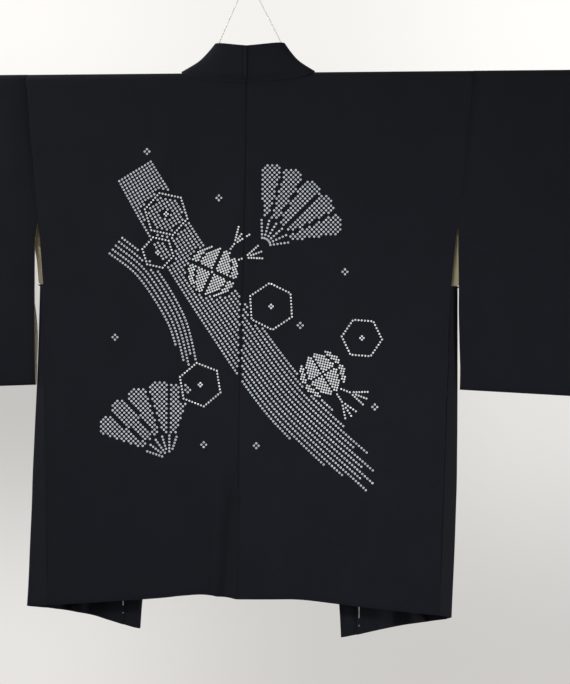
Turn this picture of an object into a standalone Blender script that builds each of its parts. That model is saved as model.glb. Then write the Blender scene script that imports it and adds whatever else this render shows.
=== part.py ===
"""A haori jacket, hung by its sleeves on a wooden rod that a string holds up.

The back of the jacket faces -Y and its fronts face +Y. Lengths are in millimetres and are scaled to metres where the
meshes are made. In the jacket's own frame X is 0 at the centre-back seam and Z is 0 on top of the shoulders; the parent
empty then moves everything, so that the top of the string's loop is the origin.
"""

import math

import bpy
from mathutils import Vector

MM = 0.001

# Walls and clearances
CLOTH = 1.5
LINING = 1.0
BAND = 2.4
SEAM_GAP = 0.3
ROD_GAP = 0.7
BAND_GAP = 0.5

# Rod and string
ROD_RADIUS = 9.0
ROD_HALF_LENGTH = 640.0
ROD_SIDES = 24
STRING_RADIUS = 0.9
STRING_STEP = 5.4
STRING_HOLE_RADIUS = 1.5
KNOT_RADIUS = 2.4
LOOP_RADIUS = 6.0
LOOP_CORNER = (-1.0, 143.1)
LOOP_TURNS = 6
KNOT_AROUND = 10
KNOT_LEVELS = 6

# The cloth's outer face over the rod
WRAP = ROD_RADIUS + ROD_GAP + LINING + SEAM_GAP + CLOTH
AXIS_Z = -WRAP
# Depth of the back row just under the neck's edge
NECK_SEAM = WRAP + 1.4

# Outline of the body, as depths below the shoulder
SLEEVE_END = 225.5
SLIT_END = 319.5
HEM = 805.0
NECK_HALF = 97.0
FRONT_FALL = 10.0
BACK_FALL = 10.0

# The side edge of the body: depth, half width at the back, half width at the front
SIDE_EDGE = (
    (0.0, 338.7, 338.7),
    (SLEEVE_END, 316.0, 316.0),
    (SLIT_END, 306.3, 306.3),
    (HEM, 293.5, 304.0),
)

# The back neck edge over the rod: angle from the top, half width that it starts at
NECK_EDGE = (
    (80.0, 52.0),
    (62.0, 79.0),
    (36.0, 92.0),
    (0.0, NECK_HALF),
)

# Rows of the body between neck and hem, as depths
BODY_ROWS = (48.0, 110.0, SLEEVE_END, SLIT_END, 400.0, 480.0, 550.0, 620.0, 680.0, 740.0, HEM)
FRONT_TURNS = (30.0, 60.0, 90.0)
BODY_COLUMNS = 14
LINING_END = 480.0

# Each side of the jacket has its own small differences
SIDES = {
    "left": {
        "sign": -1,
        # across, hem depth, hem fall towards the viewer of the back
        "back_hem": ((0.0, 790.0, 5.0), (35.0, 788.2, 1.0), (66.0, 785.8, 0.0), (114.0, 791.0, 2.0),
                     (150.0, 794.0, 4.0), (236.0, 800.8, 8.0), (293.5, 805.2, 10.0)),
        "trough": {"centre": 62.0, "half_width": 52.0, "depth": 12.0, "start": 585.0},
        "front_edge_hem": 185.0,
        "front_hem_side": 816.9,
        "front_hem_slope": 0.2,
        "gusset_crease": ((SLIT_END, 316.6), (468.0, 319.6), (510.0, 322.4), (640.0, 327.7), (730.0, 332.4),
                          (HEM, 334.0)),
        "furi": 321.5,
        "collar_corner": 49.8,
        "string_at_rod": -68.9,
    },
    "right": {
        "sign": 1,
        "back_hem": ((0.0, 790.0, 5.0), (40.0, 789.2, 4.0), (73.0, 788.5, 2.5), (91.0, 787.6, 2.0),
                     (146.0, 793.2, 3.5), (236.0, 801.2, 8.0), (293.5, 805.2, 10.0)),
        "trough": {"centre": 62.0, "half_width": 52.0, "depth": 0.0, "start": 585.0},
        "front_edge_hem": 170.0,
        "front_hem_side": 817.9,
        "front_hem_slope": 0.2075,
        "gusset_crease": ((SLIT_END, 317.0), (500.0, 318.6), (630.0, 318.8), (700.0, 317.2), (760.0, 315.7),
                          (HEM, 312.5)),
        "furi": 321.0,
        "collar_corner": 56.2,
        "string_at_rod": 79.6,
    },
}

# Soft folds that take up the slack of each front: centre and half width as shares of the front, depth at the hem
FRONT_FOLDS = (
    {"centre": 0.44, "half_width": 0.22, "depth": 17.0},
    {"centre": 0.78, "half_width": 0.20, "depth": 26.0},
)
FOLD_GROWTH = 0.8
FOLD_START = 40.0
# How much lower the hem lies for each millimetre that a fold stands forward
FOLD_DROP = 0.18

# Sleeves
SLEEVE_OUT = 672.0
SLEEVE_BOTTOM_IN = 474.0
SLEEVE_BOTTOM_SLOPE = 0.045
SLEEVE_CORNER = 55.0
CUFF = 230.0
CUFF_CORNER = (12.0, 14.0)
SLEEVE_HEM_RADIUS = 5.5
SLEEVE_COLUMNS = (0.0, 0.24, 0.48, 0.70, 0.845, 0.92, 0.972, 1.0)
SLEEVE_CLOSE = 34.0
# Half thickness of the hanging sleeve: depth, half thickness
SLEEVE_FORM = (
    (0.0, WRAP),
    (SLEEVE_END, WRAP + BACK_FALL * SLEEVE_END / HEM),
    (SLIT_END, 14.0),
    (400.0, 11.0),
    (468.0, SLEEVE_HEM_RADIUS),
)
SLEEVE_ROWS = (110.0, CUFF, SLIT_END, 400.0)

# Gusset
GUSSET_ROWS = (SLIT_END + 0.8, 365.0, 430.0, 500.0, 570.0, 640.0, 720.0, HEM)
GUSSET_CREASE_Y = 1.0
# Places between seam and crease, as shares of the way to the crease, and how far the last one bulges
GUSSET_BACK = (0.5, 0.88)
GUSSET_FRONT = (0.86, 0.45)
GUSSET_BULGE = 0.6

# Collar band
BAND_WIDTH = 57.5
BAND_OUTER = WRAP + BAND_GAP + BAND
BAND_OVERLAP = 4.0
BAND_FOLD = 168.0
BAND_FOLD_START = 110.0
BAND_FOLD_END = 340.0
# Places across the band, from its seam to its free edge; the fold lies between the 3rd and the 6th
BAND_ACROSS = (0.0, 12.0, 24.0, 26.6, 29.2, 31.8, 44.0, BAND_WIDTH)
BAND_BEND = (24.0, 31.8)
# Back of the neck: seam half width, seam height; the free edge's place (for a corner at 57); inward sag
NECK_BACK = (
    (0.0, -17.5, 0.0, -14.9, 38.0, 0.0),
    (25.0, -16.5, 20.0, -14.6, 39.6, 0.0),
    (50.0, -14.0, 37.0, -13.2, 41.6, 0.0),
    (70.0, -11.8, 48.0, -10.8, 42.8, 0.5),
    (85.0, -9.0, 53.5, -8.2, 43.0, 2.0),
    (95.0, -5.0, 56.0, -5.5, 42.9, 3.6),
    (100.0, -0.6, 57.0, -2.8, 42.8, 4.6),
    (101.0, 2.9, 57.0, 0.0, 43.0, 5.0),
)
# Front of the neck: seam height; the free edge's place; inward sag
NECK_FRONT = (
    (-0.6, 56.6, 2.8, 42.4, 4.6),
    (-5.0, 55.6, 5.5, 40.6, 3.6),
    (-13.0, 53.0, 8.6, 36.0, 2.0),
    (-26.0, 49.6, 11.8, 23.0, 0.5),
    (-46.0, 46.8, 14.4, 1.0, 0.0),
    (-76.0, 45.0, 16.4, -36.0, 0.0),
    (-112.0, 44.8, 17.2, -84.0, 0.0),
    (-155.0, 46.0, 18.0, -140.0, 0.0),
)
COLLAR_ROWS = (180.0, 205.0, 232.0, 260.0, 290.0, 320.0, 355.0, 390.0, 470.0, 560.0, 650.0, 730.0, 790.0, HEM)
COLLAR_SLANT_START = 50.0
COLLAR_SLANT_POWER = 1.2

COLOURS = {
    "crepe": ((0.011, 0.011, 0.015), 0.75, 0.0),
    "lining": ((0.62, 0.55, 0.38), 0.6, 0.0),
    "wood": ((0.55, 0.38, 0.21), 0.55, 0.0),
    "string": ((0.80, 0.76, 0.64), 0.8, 0.0),
}


def smooth(value, low, high):
    """0 below low, 1 above high, and an even S between."""
    t = min(1.0, max(0.0, (value - low) / (high - low)))
    return t * t * (3 - 2 * t)


def read_table(table, at, column=1):
    """The straight-line reading of a table's column where its first column is at."""
    if at <= table[0][0]:
        return table[0][column]
    for low, high in zip(table, table[1:]):
        if at <= high[0]:
            share = (at - low[0]) / (high[0] - low[0])
            return low[column] + share * (high[column] - low[column])
    return table[-1][column]


def bump(place, centre, half_width):
    """A rounded hill, 1 high at its centre and level where it ends."""
    t = (place - centre) / half_width
    return 0.5 + 0.5 * math.cos(math.pi * t) if abs(t) < 1 else 0.0


# ---------------------------------------------------------------- meshes

def grid_faces(rows, columns, turned, ring=False):
    """Triangles of a grid of points, whose rows may close into a ring.

    Their diagonals all run one way, so that a wall's faces and its lining's stay parallel.
    """
    faces = []
    for i in range(rows if ring else rows - 1):
        for j in range(columns - 1):
            low, high = i * columns + j, (i + 1) % rows * columns + j
            for face in ((low, low + 1, high + 1), (low, high + 1, high)):
                faces.append(face[::-1] if turned else face)
    return faces


def face_normal(points, face):
    """Unit normal of a face by Newell's rule."""
    normal = Vector()
    for a, b in zip(face, face[1:] + face[:1]):
        normal += points[a].cross(points[b])
    return normal.normalized()


def point_normals(points, faces, level=()):
    """For each point, the direction and stretch that keep a wall's thickness even across its faces.

    A point in level keeps no X part, so that two walls that meet there end in parallel planes.
    """
    around = {}
    for face in faces:
        normal = face_normal(points, face)
        for place, index in enumerate(face):
            ahead = points[face[(place + 1) % len(face)]] - points[index]
            behind = points[face[place - 1]] - points[index]
            if ahead.length > 1e-6 and behind.length > 1e-6:
                around.setdefault(index, []).append((normal, ahead.angle(behind)))
    result = {}
    for index, parts in around.items():
        normal = sum((n * weight for n, weight in parts), Vector())
        if index in level:
            normal.x = 0
        normal.normalize()
        share = sum(normal.dot(n) * weight for n, weight in parts) / sum(weight for _, weight in parts)
        result[index] = normal / max(share, 0.5)
    return result


def moved_in(points, faces, distance, level=()):
    """The same surface, moved in by a distance."""
    normals = point_normals(points, faces, level)
    return [point - normals[i] * distance if i in normals else point for i, point in enumerate(points)]


def wall(name, points, faces, thickness, finish, level=()):
    """A closed cloth wall: an outer surface, the same surface moved in, and a rim along its free edges."""
    inner = moved_in(points, faces, thickness, level)
    count = len(points)
    edges = {}
    for face in faces:
        for a, b in zip(face, face[1:] + face[:1]):
            edges[a, b] = True
    rim = [(b, a, a + count, b + count) for a, b in edges if (b, a) not in edges]
    inside = [tuple(i + count for i in reversed(face)) for face in faces]
    return make_object(name, [*points, *inner], [*faces, *inside, *rim], finish)


def make_object(name, points, faces, finish):
    """An object from points in millimetres, without those that no face uses, parented to the frame."""
    used = sorted({i for face in faces for i in face})
    place = {old: new for new, old in enumerate(used)}
    mesh = bpy.data.meshes.new(name)
    mesh.from_pydata([points[i] * MM for i in used], [], [[place[i] for i in face] for face in faces])
    mesh.update()
    mesh.shade_smooth()
    mesh.set_sharp_from_angle(angle=math.radians(50))
    return place_object(bpy.data.objects.new(name, mesh), finish)


def place_object(item, finish):
    """Give an object its material, link it and hang it on the frame."""
    item.data.materials.append(material(finish))
    bpy.context.collection.objects.link(item)
    item.parent = bpy.data.objects["frame"]
    return item


def material(finish):
    """The Principled material of a finish, made once."""
    found = bpy.data.materials.get(finish)
    if found:
        return found
    colour, roughness, metallic = COLOURS[finish]
    made = bpy.data.materials.new(finish)
    made.use_nodes = True
    shader = made.node_tree.nodes["Principled BSDF"]
    shader.inputs["Base Color"].default_value = (*colour, 1)
    shader.inputs["Roughness"].default_value = roughness
    shader.inputs["Metallic"].default_value = metallic
    return made


# ---------------------------------------------------------------- body

def back_hem(side, across):
    """Depth of the back hem."""
    return read_table(side["back_hem"], across, 1)


def front_edge(side, depth):
    """Half width at which a front's collar edge hangs."""
    share = max(0.0, depth - COLLAR_SLANT_START) / (HEM - COLLAR_SLANT_START)
    return NECK_HALF + (side["front_edge_hem"] - NECK_HALF) * share ** COLLAR_SLANT_POWER


def front_hem(side, across):
    """Depth of the front hem, which drops from the side to the collar edge."""
    return side["front_hem_side"] + side["front_hem_slope"] * (SIDE_EDGE[-1][2] - across)


def back_point(side, across, depth):
    """A point on the outer face of the back, whose hem is not quite level."""
    lower = depth + (back_hem(side, across) - HEM) * smooth(depth, SLIT_END, HEM)
    fall = read_table(side["back_hem"], across, 2) * depth / HEM
    trough = side["trough"]
    fall -= trough["depth"] * bump(across, trough["centre"], trough["half_width"]) * smooth(depth, trough["start"], HEM)
    return Vector((side["sign"] * across, -WRAP - fall, -lower))


def front_fall(depth):
    """How far the fronts hang forward of the rod, before their folds."""
    return FRONT_FALL * max(0.0, depth - WRAP) / HEM


def front_point(side, across, depth):
    """A point on the outer face of a front, with its folds and its dropped hem."""
    inner = front_edge(side, depth)
    outer = read_table(SIDE_EDGE, depth, 2)
    share = (across - inner) / (outer - inner)
    growth = (max(0.0, depth - FOLD_START) / (HEM - FOLD_START)) ** FOLD_GROWTH
    folds = sum(f["depth"] * bump(share, f["centre"], f["half_width"]) for f in FRONT_FOLDS) * growth
    lower = depth + (front_hem(side, across) + FOLD_DROP * folds - HEM) * smooth(depth, SLIT_END, HEM)
    return Vector((side["sign"] * across, WRAP + front_fall(depth) + folds, -lower))


def wrap_point(side, across, turn, radius=WRAP):
    """A point on the cloth over the rod; turn is in degrees from the top, negative at the back."""
    angle = math.radians(turn)
    return Vector((side["sign"] * across, radius * math.sin(angle), AXIS_Z + radius * math.cos(angle)))


def body_row(side, kind, value, inner, outer):
    """One row of points across a body length, from its inner edge to its side."""
    makers = {"back": back_point, "front": front_point, "wrap": wrap_point}
    shares = (j / BODY_COLUMNS for j in range(BODY_COLUMNS + 1))
    return [makers[kind](side, inner + share * (outer - inner), value) for share in shares]


def body_rows(side, deepest):
    """Rows of points from the back hem, over the shoulder, to the front hem, down to a depth."""
    depths = [depth for depth in BODY_ROWS if depth <= deepest]
    half_gap = SEAM_GAP / 2
    shoulder = read_table(SIDE_EDGE, WRAP) - half_gap
    rows = [body_row(side, "back", depth, half_gap, read_table(SIDE_EDGE, depth) - half_gap)
            for depth in reversed(depths)]
    rows.append(body_row(side, "back", NECK_SEAM, half_gap, read_table(SIDE_EDGE, NECK_SEAM) - half_gap))
    rows += [body_row(side, "wrap", -turn, inner, shoulder) for turn, inner in NECK_EDGE]
    rows += [body_row(side, "wrap", turn, NECK_HALF, shoulder) for turn in FRONT_TURNS]
    for depth in depths:
        outer = read_table(SIDE_EDGE, depth, 2) - half_gap
        rows.append(body_row(side, "front", depth, front_edge(side, depth), outer))
    return rows


def body_surface(side, deepest):
    """Points and faces of a body length's outer face, and the points on its centre-back seam and sides."""
    rows = body_rows(side, deepest)
    columns = BODY_COLUMNS + 1
    points = [point for row in rows for point in row]
    faces = grid_faces(len(rows), columns, side["sign"] < 0)
    at_seam = {i * columns for i, row in enumerate(rows) if abs(row[0].x) < 1}
    at_side = {i * columns + BODY_COLUMNS for i in range(len(rows))}
    return points, faces, at_seam | at_side


def make_body(name, side):
    """One body length, back and front in one."""
    points, faces, level = body_surface(side, HEM)
    wall(f"body_{name}", points, faces, CLOTH, "crepe", level)


def make_body_lining(name, side):
    """The lining of the upper part of a body length."""
    points, faces, level = body_surface(side, LINING_END)
    points = moved_in(points, faces, CLOTH + SEAM_GAP, level)
    wall(f"body_lining_{name}", points, faces, LINING, "lining", level)


# ---------------------------------------------------------------- sleeves

def sleeve_inner(side, depth):
    """Half width of the sleeve's inner edge: the seam to the body, and below it the open furi."""
    if depth <= SLEEVE_END:
        return read_table(SIDE_EDGE, depth) + SEAM_GAP / 2
    return side["furi"]


def sleeve_bottom(side, across):
    """Depth of the sleeve's bottom fold, with its rounded outer corner."""
    level = SLEEVE_BOTTOM_IN + SLEEVE_BOTTOM_SLOPE * (across - side["furi"])
    past = min(SLEEVE_CORNER, max(0.0, across - (SLEEVE_OUT - SLEEVE_CORNER)))
    return level - SLEEVE_CORNER + math.sqrt(SLEEVE_CORNER ** 2 - past ** 2)


def sleeve_closed(across, depth):
    """1 where the sleeve is open, falling to 0 at the sewn outer edge below the cuff."""
    near = max(0.0, 1 - (SLEEVE_OUT - across) / SLEEVE_CLOSE)
    return 1 - smooth(depth, CUFF - CUFF_CORNER[0], CUFF + CUFF_CORNER[1]) * (1 - math.sqrt(1 - near * near))


def sleeve_half_ring(side, share):
    """The sleeve's back face at a share of its width, from the bottom fold up to the top, as (x, y, z)."""
    def across_at(depth):
        inner = sleeve_inner(side, depth)
        return inner + share * (SLEEVE_OUT - inner)

    bottom = sleeve_bottom(side, across_at(HEM))
    ring = []
    for turn in (0.0, 45.0, 90.0):
        depth = bottom - SLEEVE_HEM_RADIUS * (1 - math.cos(math.radians(turn)))
        ring.append((depth, SLEEVE_HEM_RADIUS * math.sin(math.radians(turn))))
    stretch = (bottom - SLEEVE_HEM_RADIUS - SLIT_END) / (SLEEVE_FORM[-1][0] - SLIT_END)
    for row in reversed(SLEEVE_ROWS):
        depth = SLIT_END + (row - SLIT_END) * stretch if row > SLIT_END else row
        ring.append((depth, read_table(SLEEVE_FORM, row)))
    ring.append((SLEEVE_END, read_table(SLEEVE_FORM, SLEEVE_END)))
    ring.sort(key=lambda pair: -pair[0])
    points = [(across_at(depth), half * sleeve_closed(across_at(depth), depth), -depth) for depth, half in ring]
    for turn in (90.0, 60.0, 30.0, 0.0):
        point = wrap_point(side, across_at(WRAP), turn)
        points.append((across_at(WRAP), point.y, point.z))
    return points


def sleeve_surface(side):
    """Points and faces of a sleeve's outer face: rings round the bag, closed below the cuff."""
    columns = []
    for share in SLEEVE_COLUMNS:
        half = sleeve_half_ring(side, share)
        back = [Vector((side["sign"] * x, -y, z)) for x, y, z in half]
        front = [Vector((side["sign"] * x, y, z)) for x, y, z in reversed(half[1:-1])]
        columns.append(back + front)
    rows = len(columns[0])
    points = [column[i] for i in range(rows) for column in columns]
    faces = grid_faces(rows, len(columns), side["sign"] < 0, ring=True)
    return joined_at_middle(points, faces)


def joined_at_middle(points, faces):
    """Join back and front points that meet on the plane Y = 0, and drop the faces that vanish."""
    first = {}
    same = []
    for i, point in enumerate(points):
        key = (round(point.x, 3), round(point.z, 3)) if abs(point.y) < 1e-6 else i
        same.append(first.setdefault(key, i))
    kept = []
    for face in faces:
        face = tuple(dict.fromkeys(same[i] for i in face))
        if len(face) > 2:
            kept.append(face)
    return points, kept


def make_sleeve(name, side):
    """One sleeve, an open bag."""
    points, faces = sleeve_surface(side)
    wall(f"sleeve_{name}", points, faces, CLOTH, "crepe")


def make_sleeve_lining(name, side):
    """The lining of a sleeve."""
    points, faces = sleeve_surface(side)
    points = moved_in(points, faces, CLOTH + SEAM_GAP)
    wall(f"sleeve_lining_{name}", points, faces, LINING, "lining")


# ---------------------------------------------------------------- gussets

def gusset_row(side, depth):
    """Points across a gusset, from the back panel's edge, round its crease, to the front's edge."""
    half_gap = SEAM_GAP / 2
    back_x = read_table(SIDE_EDGE, depth) + half_gap
    front_x = read_table(SIDE_EDGE, depth, 2) + half_gap
    back = back_point(side, back_x, depth)
    front = front_point(side, front_x, depth)
    crease_x = read_table(side["gusset_crease"], depth)
    crease = Vector((side["sign"] * crease_x, GUSSET_CREASE_Y, (back.z + front.z) / 2))
    near_back = [back.lerp(crease, share) for share in GUSSET_BACK]
    near_back[-1].x += side["sign"] * GUSSET_BULGE
    return [back, *near_back, crease, *(front.lerp(crease, share) for share in GUSSET_FRONT), front]


def make_gusset(name, side):
    """One gusset, folded outwards along its middle."""
    rows = [gusset_row(side, depth) for depth in reversed(GUSSET_ROWS)]
    columns = len(rows[0])
    points = [point for row in rows for point in row]
    level = {i * columns + j for i in range(len(rows)) for j in (0, columns - 1)}
    wall(f"gusset_{name}", points, grid_faces(len(rows), columns, side["sign"] < 0), CLOTH, "crepe", level)


# ---------------------------------------------------------------- collar

def band_y(height):
    """How far the band's outer face stands from the middle plane at a height near the rod."""
    above = max(0.0, height - AXIS_Z)
    return math.sqrt(max(0.0, BAND_OUTER ** 2 - above ** 2))


def band_seam(side, depth):
    """The band's seam edge on a front: outside the front's own edge, which it covers."""
    y = front_point(side, front_edge(side, depth), depth).y + BAND_GAP + BAND
    return Vector((front_edge(side, depth) + BAND_OVERLAP, y, -depth))


def collar_stations(side):
    """Seam, free edge and sag of the band at each station, from the centre back to the front hem, on the right."""
    corner = side["collar_corner"] / 57.0
    stations = []
    for seam_x, seam_z, x, y, z, sag in NECK_BACK:
        stations.append((Vector((seam_x, -band_y(seam_z), seam_z)), Vector((x * corner, y, z)), sag))
    for seam_z, x, y, z, sag in NECK_FRONT:
        seam = band_seam(side, -seam_z)
        if seam_z > AXIS_Z:
            seam.y = band_y(seam_z)
        narrower = (1 - corner) * smooth(z, -40, 40)
        stations.append((seam, Vector((x * (1 - narrower), y, z)), sag))
    for depth in COLLAR_ROWS:
        seam = band_seam(side, depth)
        stations.append((seam, seam + Vector((-BAND_WIDTH, 0.6, 0)), 0.0))
    return stations


def band_section(seam, edge, sag, fold):
    """Points across the band from its seam to its free edge, sagging inwards or folded outwards by an angle."""
    run = edge - seam
    along = run.normalized()
    out = Vector((0, 1, 0))
    out = (out - along * out.dot(along)).normalized()
    inwards = Vector((-along.z, 0, along.x)).normalized()
    stretch = run.length / BAND_WIDTH
    points = [seam.copy()]
    for low, high in zip(BAND_ACROSS, BAND_ACROSS[1:]):
        middle = (low + high) / 2
        share = min(1.0, max(0.0, (middle - BAND_BEND[0]) / (BAND_BEND[1] - BAND_BEND[0])))
        heading = math.radians(fold * share)
        step = (high - low) * stretch
        points.append(points[-1] + along * (step * math.cos(heading)) + out * (step * math.sin(heading)))
    return [point + inwards * (sag * math.sin(math.pi * place / BAND_WIDTH))
            for point, place in zip(points, BAND_ACROSS)]


def collar_row(side, seam, edge, sag):
    """Points across the band at one station, with its hem in line with the front's hem."""
    on_front = seam.y > 0
    fold = BAND_FOLD * smooth(-seam.z, BAND_FOLD_START, BAND_FOLD_END) if on_front else 0.0
    row = band_section(seam, edge, sag, fold)
    if on_front:
        hem_share = smooth(-seam.z, SLIT_END, HEM)
        for point in row:
            point.z -= (front_hem(side, point.x) - HEM) * hem_share
    for point in row:
        point.x *= side["sign"]
    return row


def make_collar(name, side):
    """Half of the collar band: standing behind the neck, folded outwards down the front."""
    stations = collar_stations(side)
    half_gap = SEAM_GAP / 2
    for place in stations[0][:2]:
        place.x = half_gap
    rows = [collar_row(side, *station) for station in stations]
    columns = len(rows[0])
    points = [point for row in rows for point in row]
    faces = grid_faces(len(rows), columns, side["sign"] > 0)
    wall(f"collar_{name}", points, faces, BAND, "crepe", set(range(columns)))


# ---------------------------------------------------------------- rod and string

def string_line(side):
    """The straight line of one half of the string: where it crosses the rod's axis, and its way down."""
    crossing = Vector((side["string_at_rod"], 0, AXIS_Z))
    corner = Vector((LOOP_CORNER[0], 0, LOOP_CORNER[1]))
    return crossing, (crossing - corner).normalized()


def knot_centre(side):
    """The middle of the knot that stops the string just below the rod."""
    crossing, down = string_line(side)
    return crossing + down * ((ROD_RADIUS + SEAM_GAP + KNOT_RADIUS) / -down.z)


def tube(start, end, radius, sides):
    """Points and faces of a closed straight tube between two points in the plane Y = 0 or along X."""
    way = (end - start).normalized()
    first = way.orthogonal().normalized()
    second = way.cross(first)
    points = []
    for middle in (start, end):
        for step in range(sides):
            angle = 2 * math.pi * step / sides
            points.append(middle + (first * math.cos(angle) + second * math.sin(angle)) * radius)
    faces = [tuple(range(sides))[::-1], tuple(range(sides, 2 * sides))]
    for step in range(sides):
        ahead = (step + 1) % sides
        faces.append((step, ahead, ahead + sides, step + sides))
    return points, faces


def make_rod():
    """The wooden rod inside the sleeves, with a slanting hole for each end of the string."""
    ends = [Vector((x, 0, AXIS_Z)) for x in (-ROD_HALF_LENGTH, ROD_HALF_LENGTH)]
    rod = make_object("rod", *tube(*ends, ROD_RADIUS, ROD_SIDES), "wood")
    for name, side in SIDES.items():
        crossing, down = string_line(side)
        reach = down * (2.2 * ROD_RADIUS)
        hole = make_object(f"string_hole_{name}", *tube(crossing - reach, crossing + reach, STRING_HOLE_RADIUS, 10),
                           "wood")
        hole.hide_render = True
        hole.display_type = "WIRE"
        cut = rod.modifiers.new(f"hole_{name}", "BOOLEAN")
        cut.operation = "DIFFERENCE"
        cut.solver = "EXACT"
        cut.object = hole


def make_knot(name, side):
    """The knot in the string's end under the rod."""
    centre = knot_centre(side)
    around, levels = KNOT_AROUND, KNOT_LEVELS
    points = [centre + Vector((0, 0, -KNOT_RADIUS)), centre + Vector((0, 0, KNOT_RADIUS))]
    for i in range(1, levels):
        angle = math.pi * i / levels
        for j in range(around):
            turn = 2 * math.pi * j / around
            spoke = Vector((math.cos(turn), math.sin(turn), 0)) * (KNOT_RADIUS * math.sin(angle))
            points.append(centre + spoke - Vector((0, 0, KNOT_RADIUS * math.cos(angle))))
    faces = []
    for j in range(around):
        ahead = (j + 1) % around
        faces.append((0, 2 + ahead, 2 + j))
        last = 2 + (levels - 2) * around
        faces.append((1, last + j, last + ahead))
        for i in range(levels - 2):
            low, high = 2 + i * around, 2 + (i + 1) * around
            faces.append((low + j, low + ahead, high + ahead, high + j))
    make_object(f"string_knot_{name}", points, faces, "string")


def string_route():
    """The string's centre line: up from one knot, round the loop's top and down to the other."""
    corner = Vector((LOOP_CORNER[0], 0, LOOP_CORNER[1]))
    ways, feet = [], []
    for side in SIDES.values():
        down = string_line(side)[1]
        ways.append(down)
        feet.append(knot_centre(side) - down * (KNOT_RADIUS + SEAM_GAP))
    half = ways[0].angle(ways[1]) / 2
    middle = corner + (ways[0] + ways[1]).normalized() * (LOOP_RADIUS / math.sin(half))
    touch = [corner + way * (LOOP_RADIUS / math.tan(half)) for way in ways]
    start, end = (math.atan2(t.z - middle.z, t.x - middle.x) for t in touch)
    steps = round((touch[0] - feet[0]).length / STRING_STEP)
    route = [feet[0].lerp(touch[0], step / steps) for step in range(steps)]
    for step in range(LOOP_TURNS + 1):
        angle = start + (end - start) * step / LOOP_TURNS
        route.append(middle + Vector((math.cos(angle), 0, math.sin(angle))) * LOOP_RADIUS)
    steps = round((touch[1] - feet[1]).length / STRING_STEP)
    route += [touch[1].lerp(feet[1], step / steps) for step in range(1, steps + 1)]
    return route, middle + Vector((0, 0, LOOP_RADIUS))


def make_string(route):
    """The taut string between the knots."""
    curve = bpy.data.curves.new("hang_string", "CURVE")
    curve.dimensions = "3D"
    curve.bevel_depth = STRING_RADIUS * MM
    curve.bevel_resolution = 2
    curve.use_fill_caps = True
    path = curve.splines.new("POLY")
    path.points.add(len(route) - 1)
    for point, place in zip(path.points, route):
        point.co = (*(place * MM), 1)
    place_object(bpy.data.objects.new("hang_string", curve), "string")


def main():
    """Clear the scene and make every piece."""
    for item in list(bpy.data.objects):
        bpy.data.objects.remove(item, do_unlink=True)
    route, top = string_route()
    frame = bpy.data.objects.new("frame", None)
    frame.location = -top * MM
    bpy.context.collection.objects.link(frame)
    for name, side in SIDES.items():
        make_body(name, side)
        make_body_lining(name, side)
        make_sleeve(name, side)
        make_sleeve_lining(name, side)
        make_gusset(name, side)
        make_collar(name, side)
        make_knot(name, side)
    make_rod()
    make_string(route)


main()
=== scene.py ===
"""Looks of a haori jacket that hangs on a wooden rod, with the back of the jacket towards the viewer.

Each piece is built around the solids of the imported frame. Lengths are in millimetres in the garment's own axes: X is 0
at the centre-back seam, Y points the way the wearer faces, and depth is counted down from the top of the shoulders.
Garment turns them into metres of the frame.
"""

import logging
import math
from collections.abc import Iterable
from dataclasses import dataclass, field
from enum import Enum

import bmesh
import bpy
import numpy as np
from bpy.types import ID, Material, Mesh, Node, NodeSocket, NodeTree, Object
from mathutils import Matrix, Vector
from mathutils.bvhtree import BVHTree

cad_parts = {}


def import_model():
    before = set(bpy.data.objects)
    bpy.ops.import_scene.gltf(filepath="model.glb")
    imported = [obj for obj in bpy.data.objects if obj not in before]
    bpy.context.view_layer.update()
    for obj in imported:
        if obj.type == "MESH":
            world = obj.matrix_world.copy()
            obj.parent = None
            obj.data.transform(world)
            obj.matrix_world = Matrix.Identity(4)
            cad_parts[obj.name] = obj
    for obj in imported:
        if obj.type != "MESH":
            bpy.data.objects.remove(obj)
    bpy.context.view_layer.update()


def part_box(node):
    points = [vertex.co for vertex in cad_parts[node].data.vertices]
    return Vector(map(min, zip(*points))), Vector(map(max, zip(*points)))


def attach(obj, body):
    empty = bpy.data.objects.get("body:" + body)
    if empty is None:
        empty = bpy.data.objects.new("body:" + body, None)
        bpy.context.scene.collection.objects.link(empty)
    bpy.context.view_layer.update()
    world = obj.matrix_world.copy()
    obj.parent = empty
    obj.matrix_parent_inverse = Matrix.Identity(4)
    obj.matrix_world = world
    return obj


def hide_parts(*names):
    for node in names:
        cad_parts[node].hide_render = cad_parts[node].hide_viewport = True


MM = 0.001
ROOT_BODY = "root"
FORWARDS = Vector((0, 1, 0))
# Y of a place well behind the jacket's back
BEHIND = -200.0
# how finely thread is rounded
THREAD_ROUND = 2
LOG = logging.getLogger("haori")

Colour = tuple[float, float, float]
Point2 = tuple[float, float]


class Side(Enum):
    """The two halves of the jacket, with the sign of X on each."""

    LEFT = -1
    RIGHT = 1

    @property
    def word(self) -> str:
        """The side's name as it stands at the end of a piece's name."""
        return self.name.lower()


class Slot(Enum):
    """The record's material slots."""

    CREPE = "crepe"
    LINING = "lining"
    WOOD = "rod_wood"
    STRING = "string"


# ---------------------------------------------------------------- places and meshes

@dataclass(frozen=True)
class Garment:
    """Places the garment's millimetres in the frame."""

    origin: Vector

    @classmethod
    def from_frame(cls) -> "Garment":
        """Find the centre-back seam and the shoulders' top from the two body lengths."""
        left_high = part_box("body_left")[1]
        right_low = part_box("body_right")[0]
        return cls(Vector(((left_high.x + right_low.x) / 2, 0.0, left_high.z)))

    def point(self, x: float, y: float, depth: float) -> Vector:
        """The frame's point at a place on the garment."""
        return self.origin + Vector((x, y, -depth)) * MM

    def measures(self, points: np.ndarray) -> tuple[np.ndarray, np.ndarray, np.ndarray]:
        """X, Y and depth, in millimetres, of an array of the frame's points."""
        local = (points - np.array(self.origin)) / MM
        return local[:, 0], local[:, 1], -local[:, 2]


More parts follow.
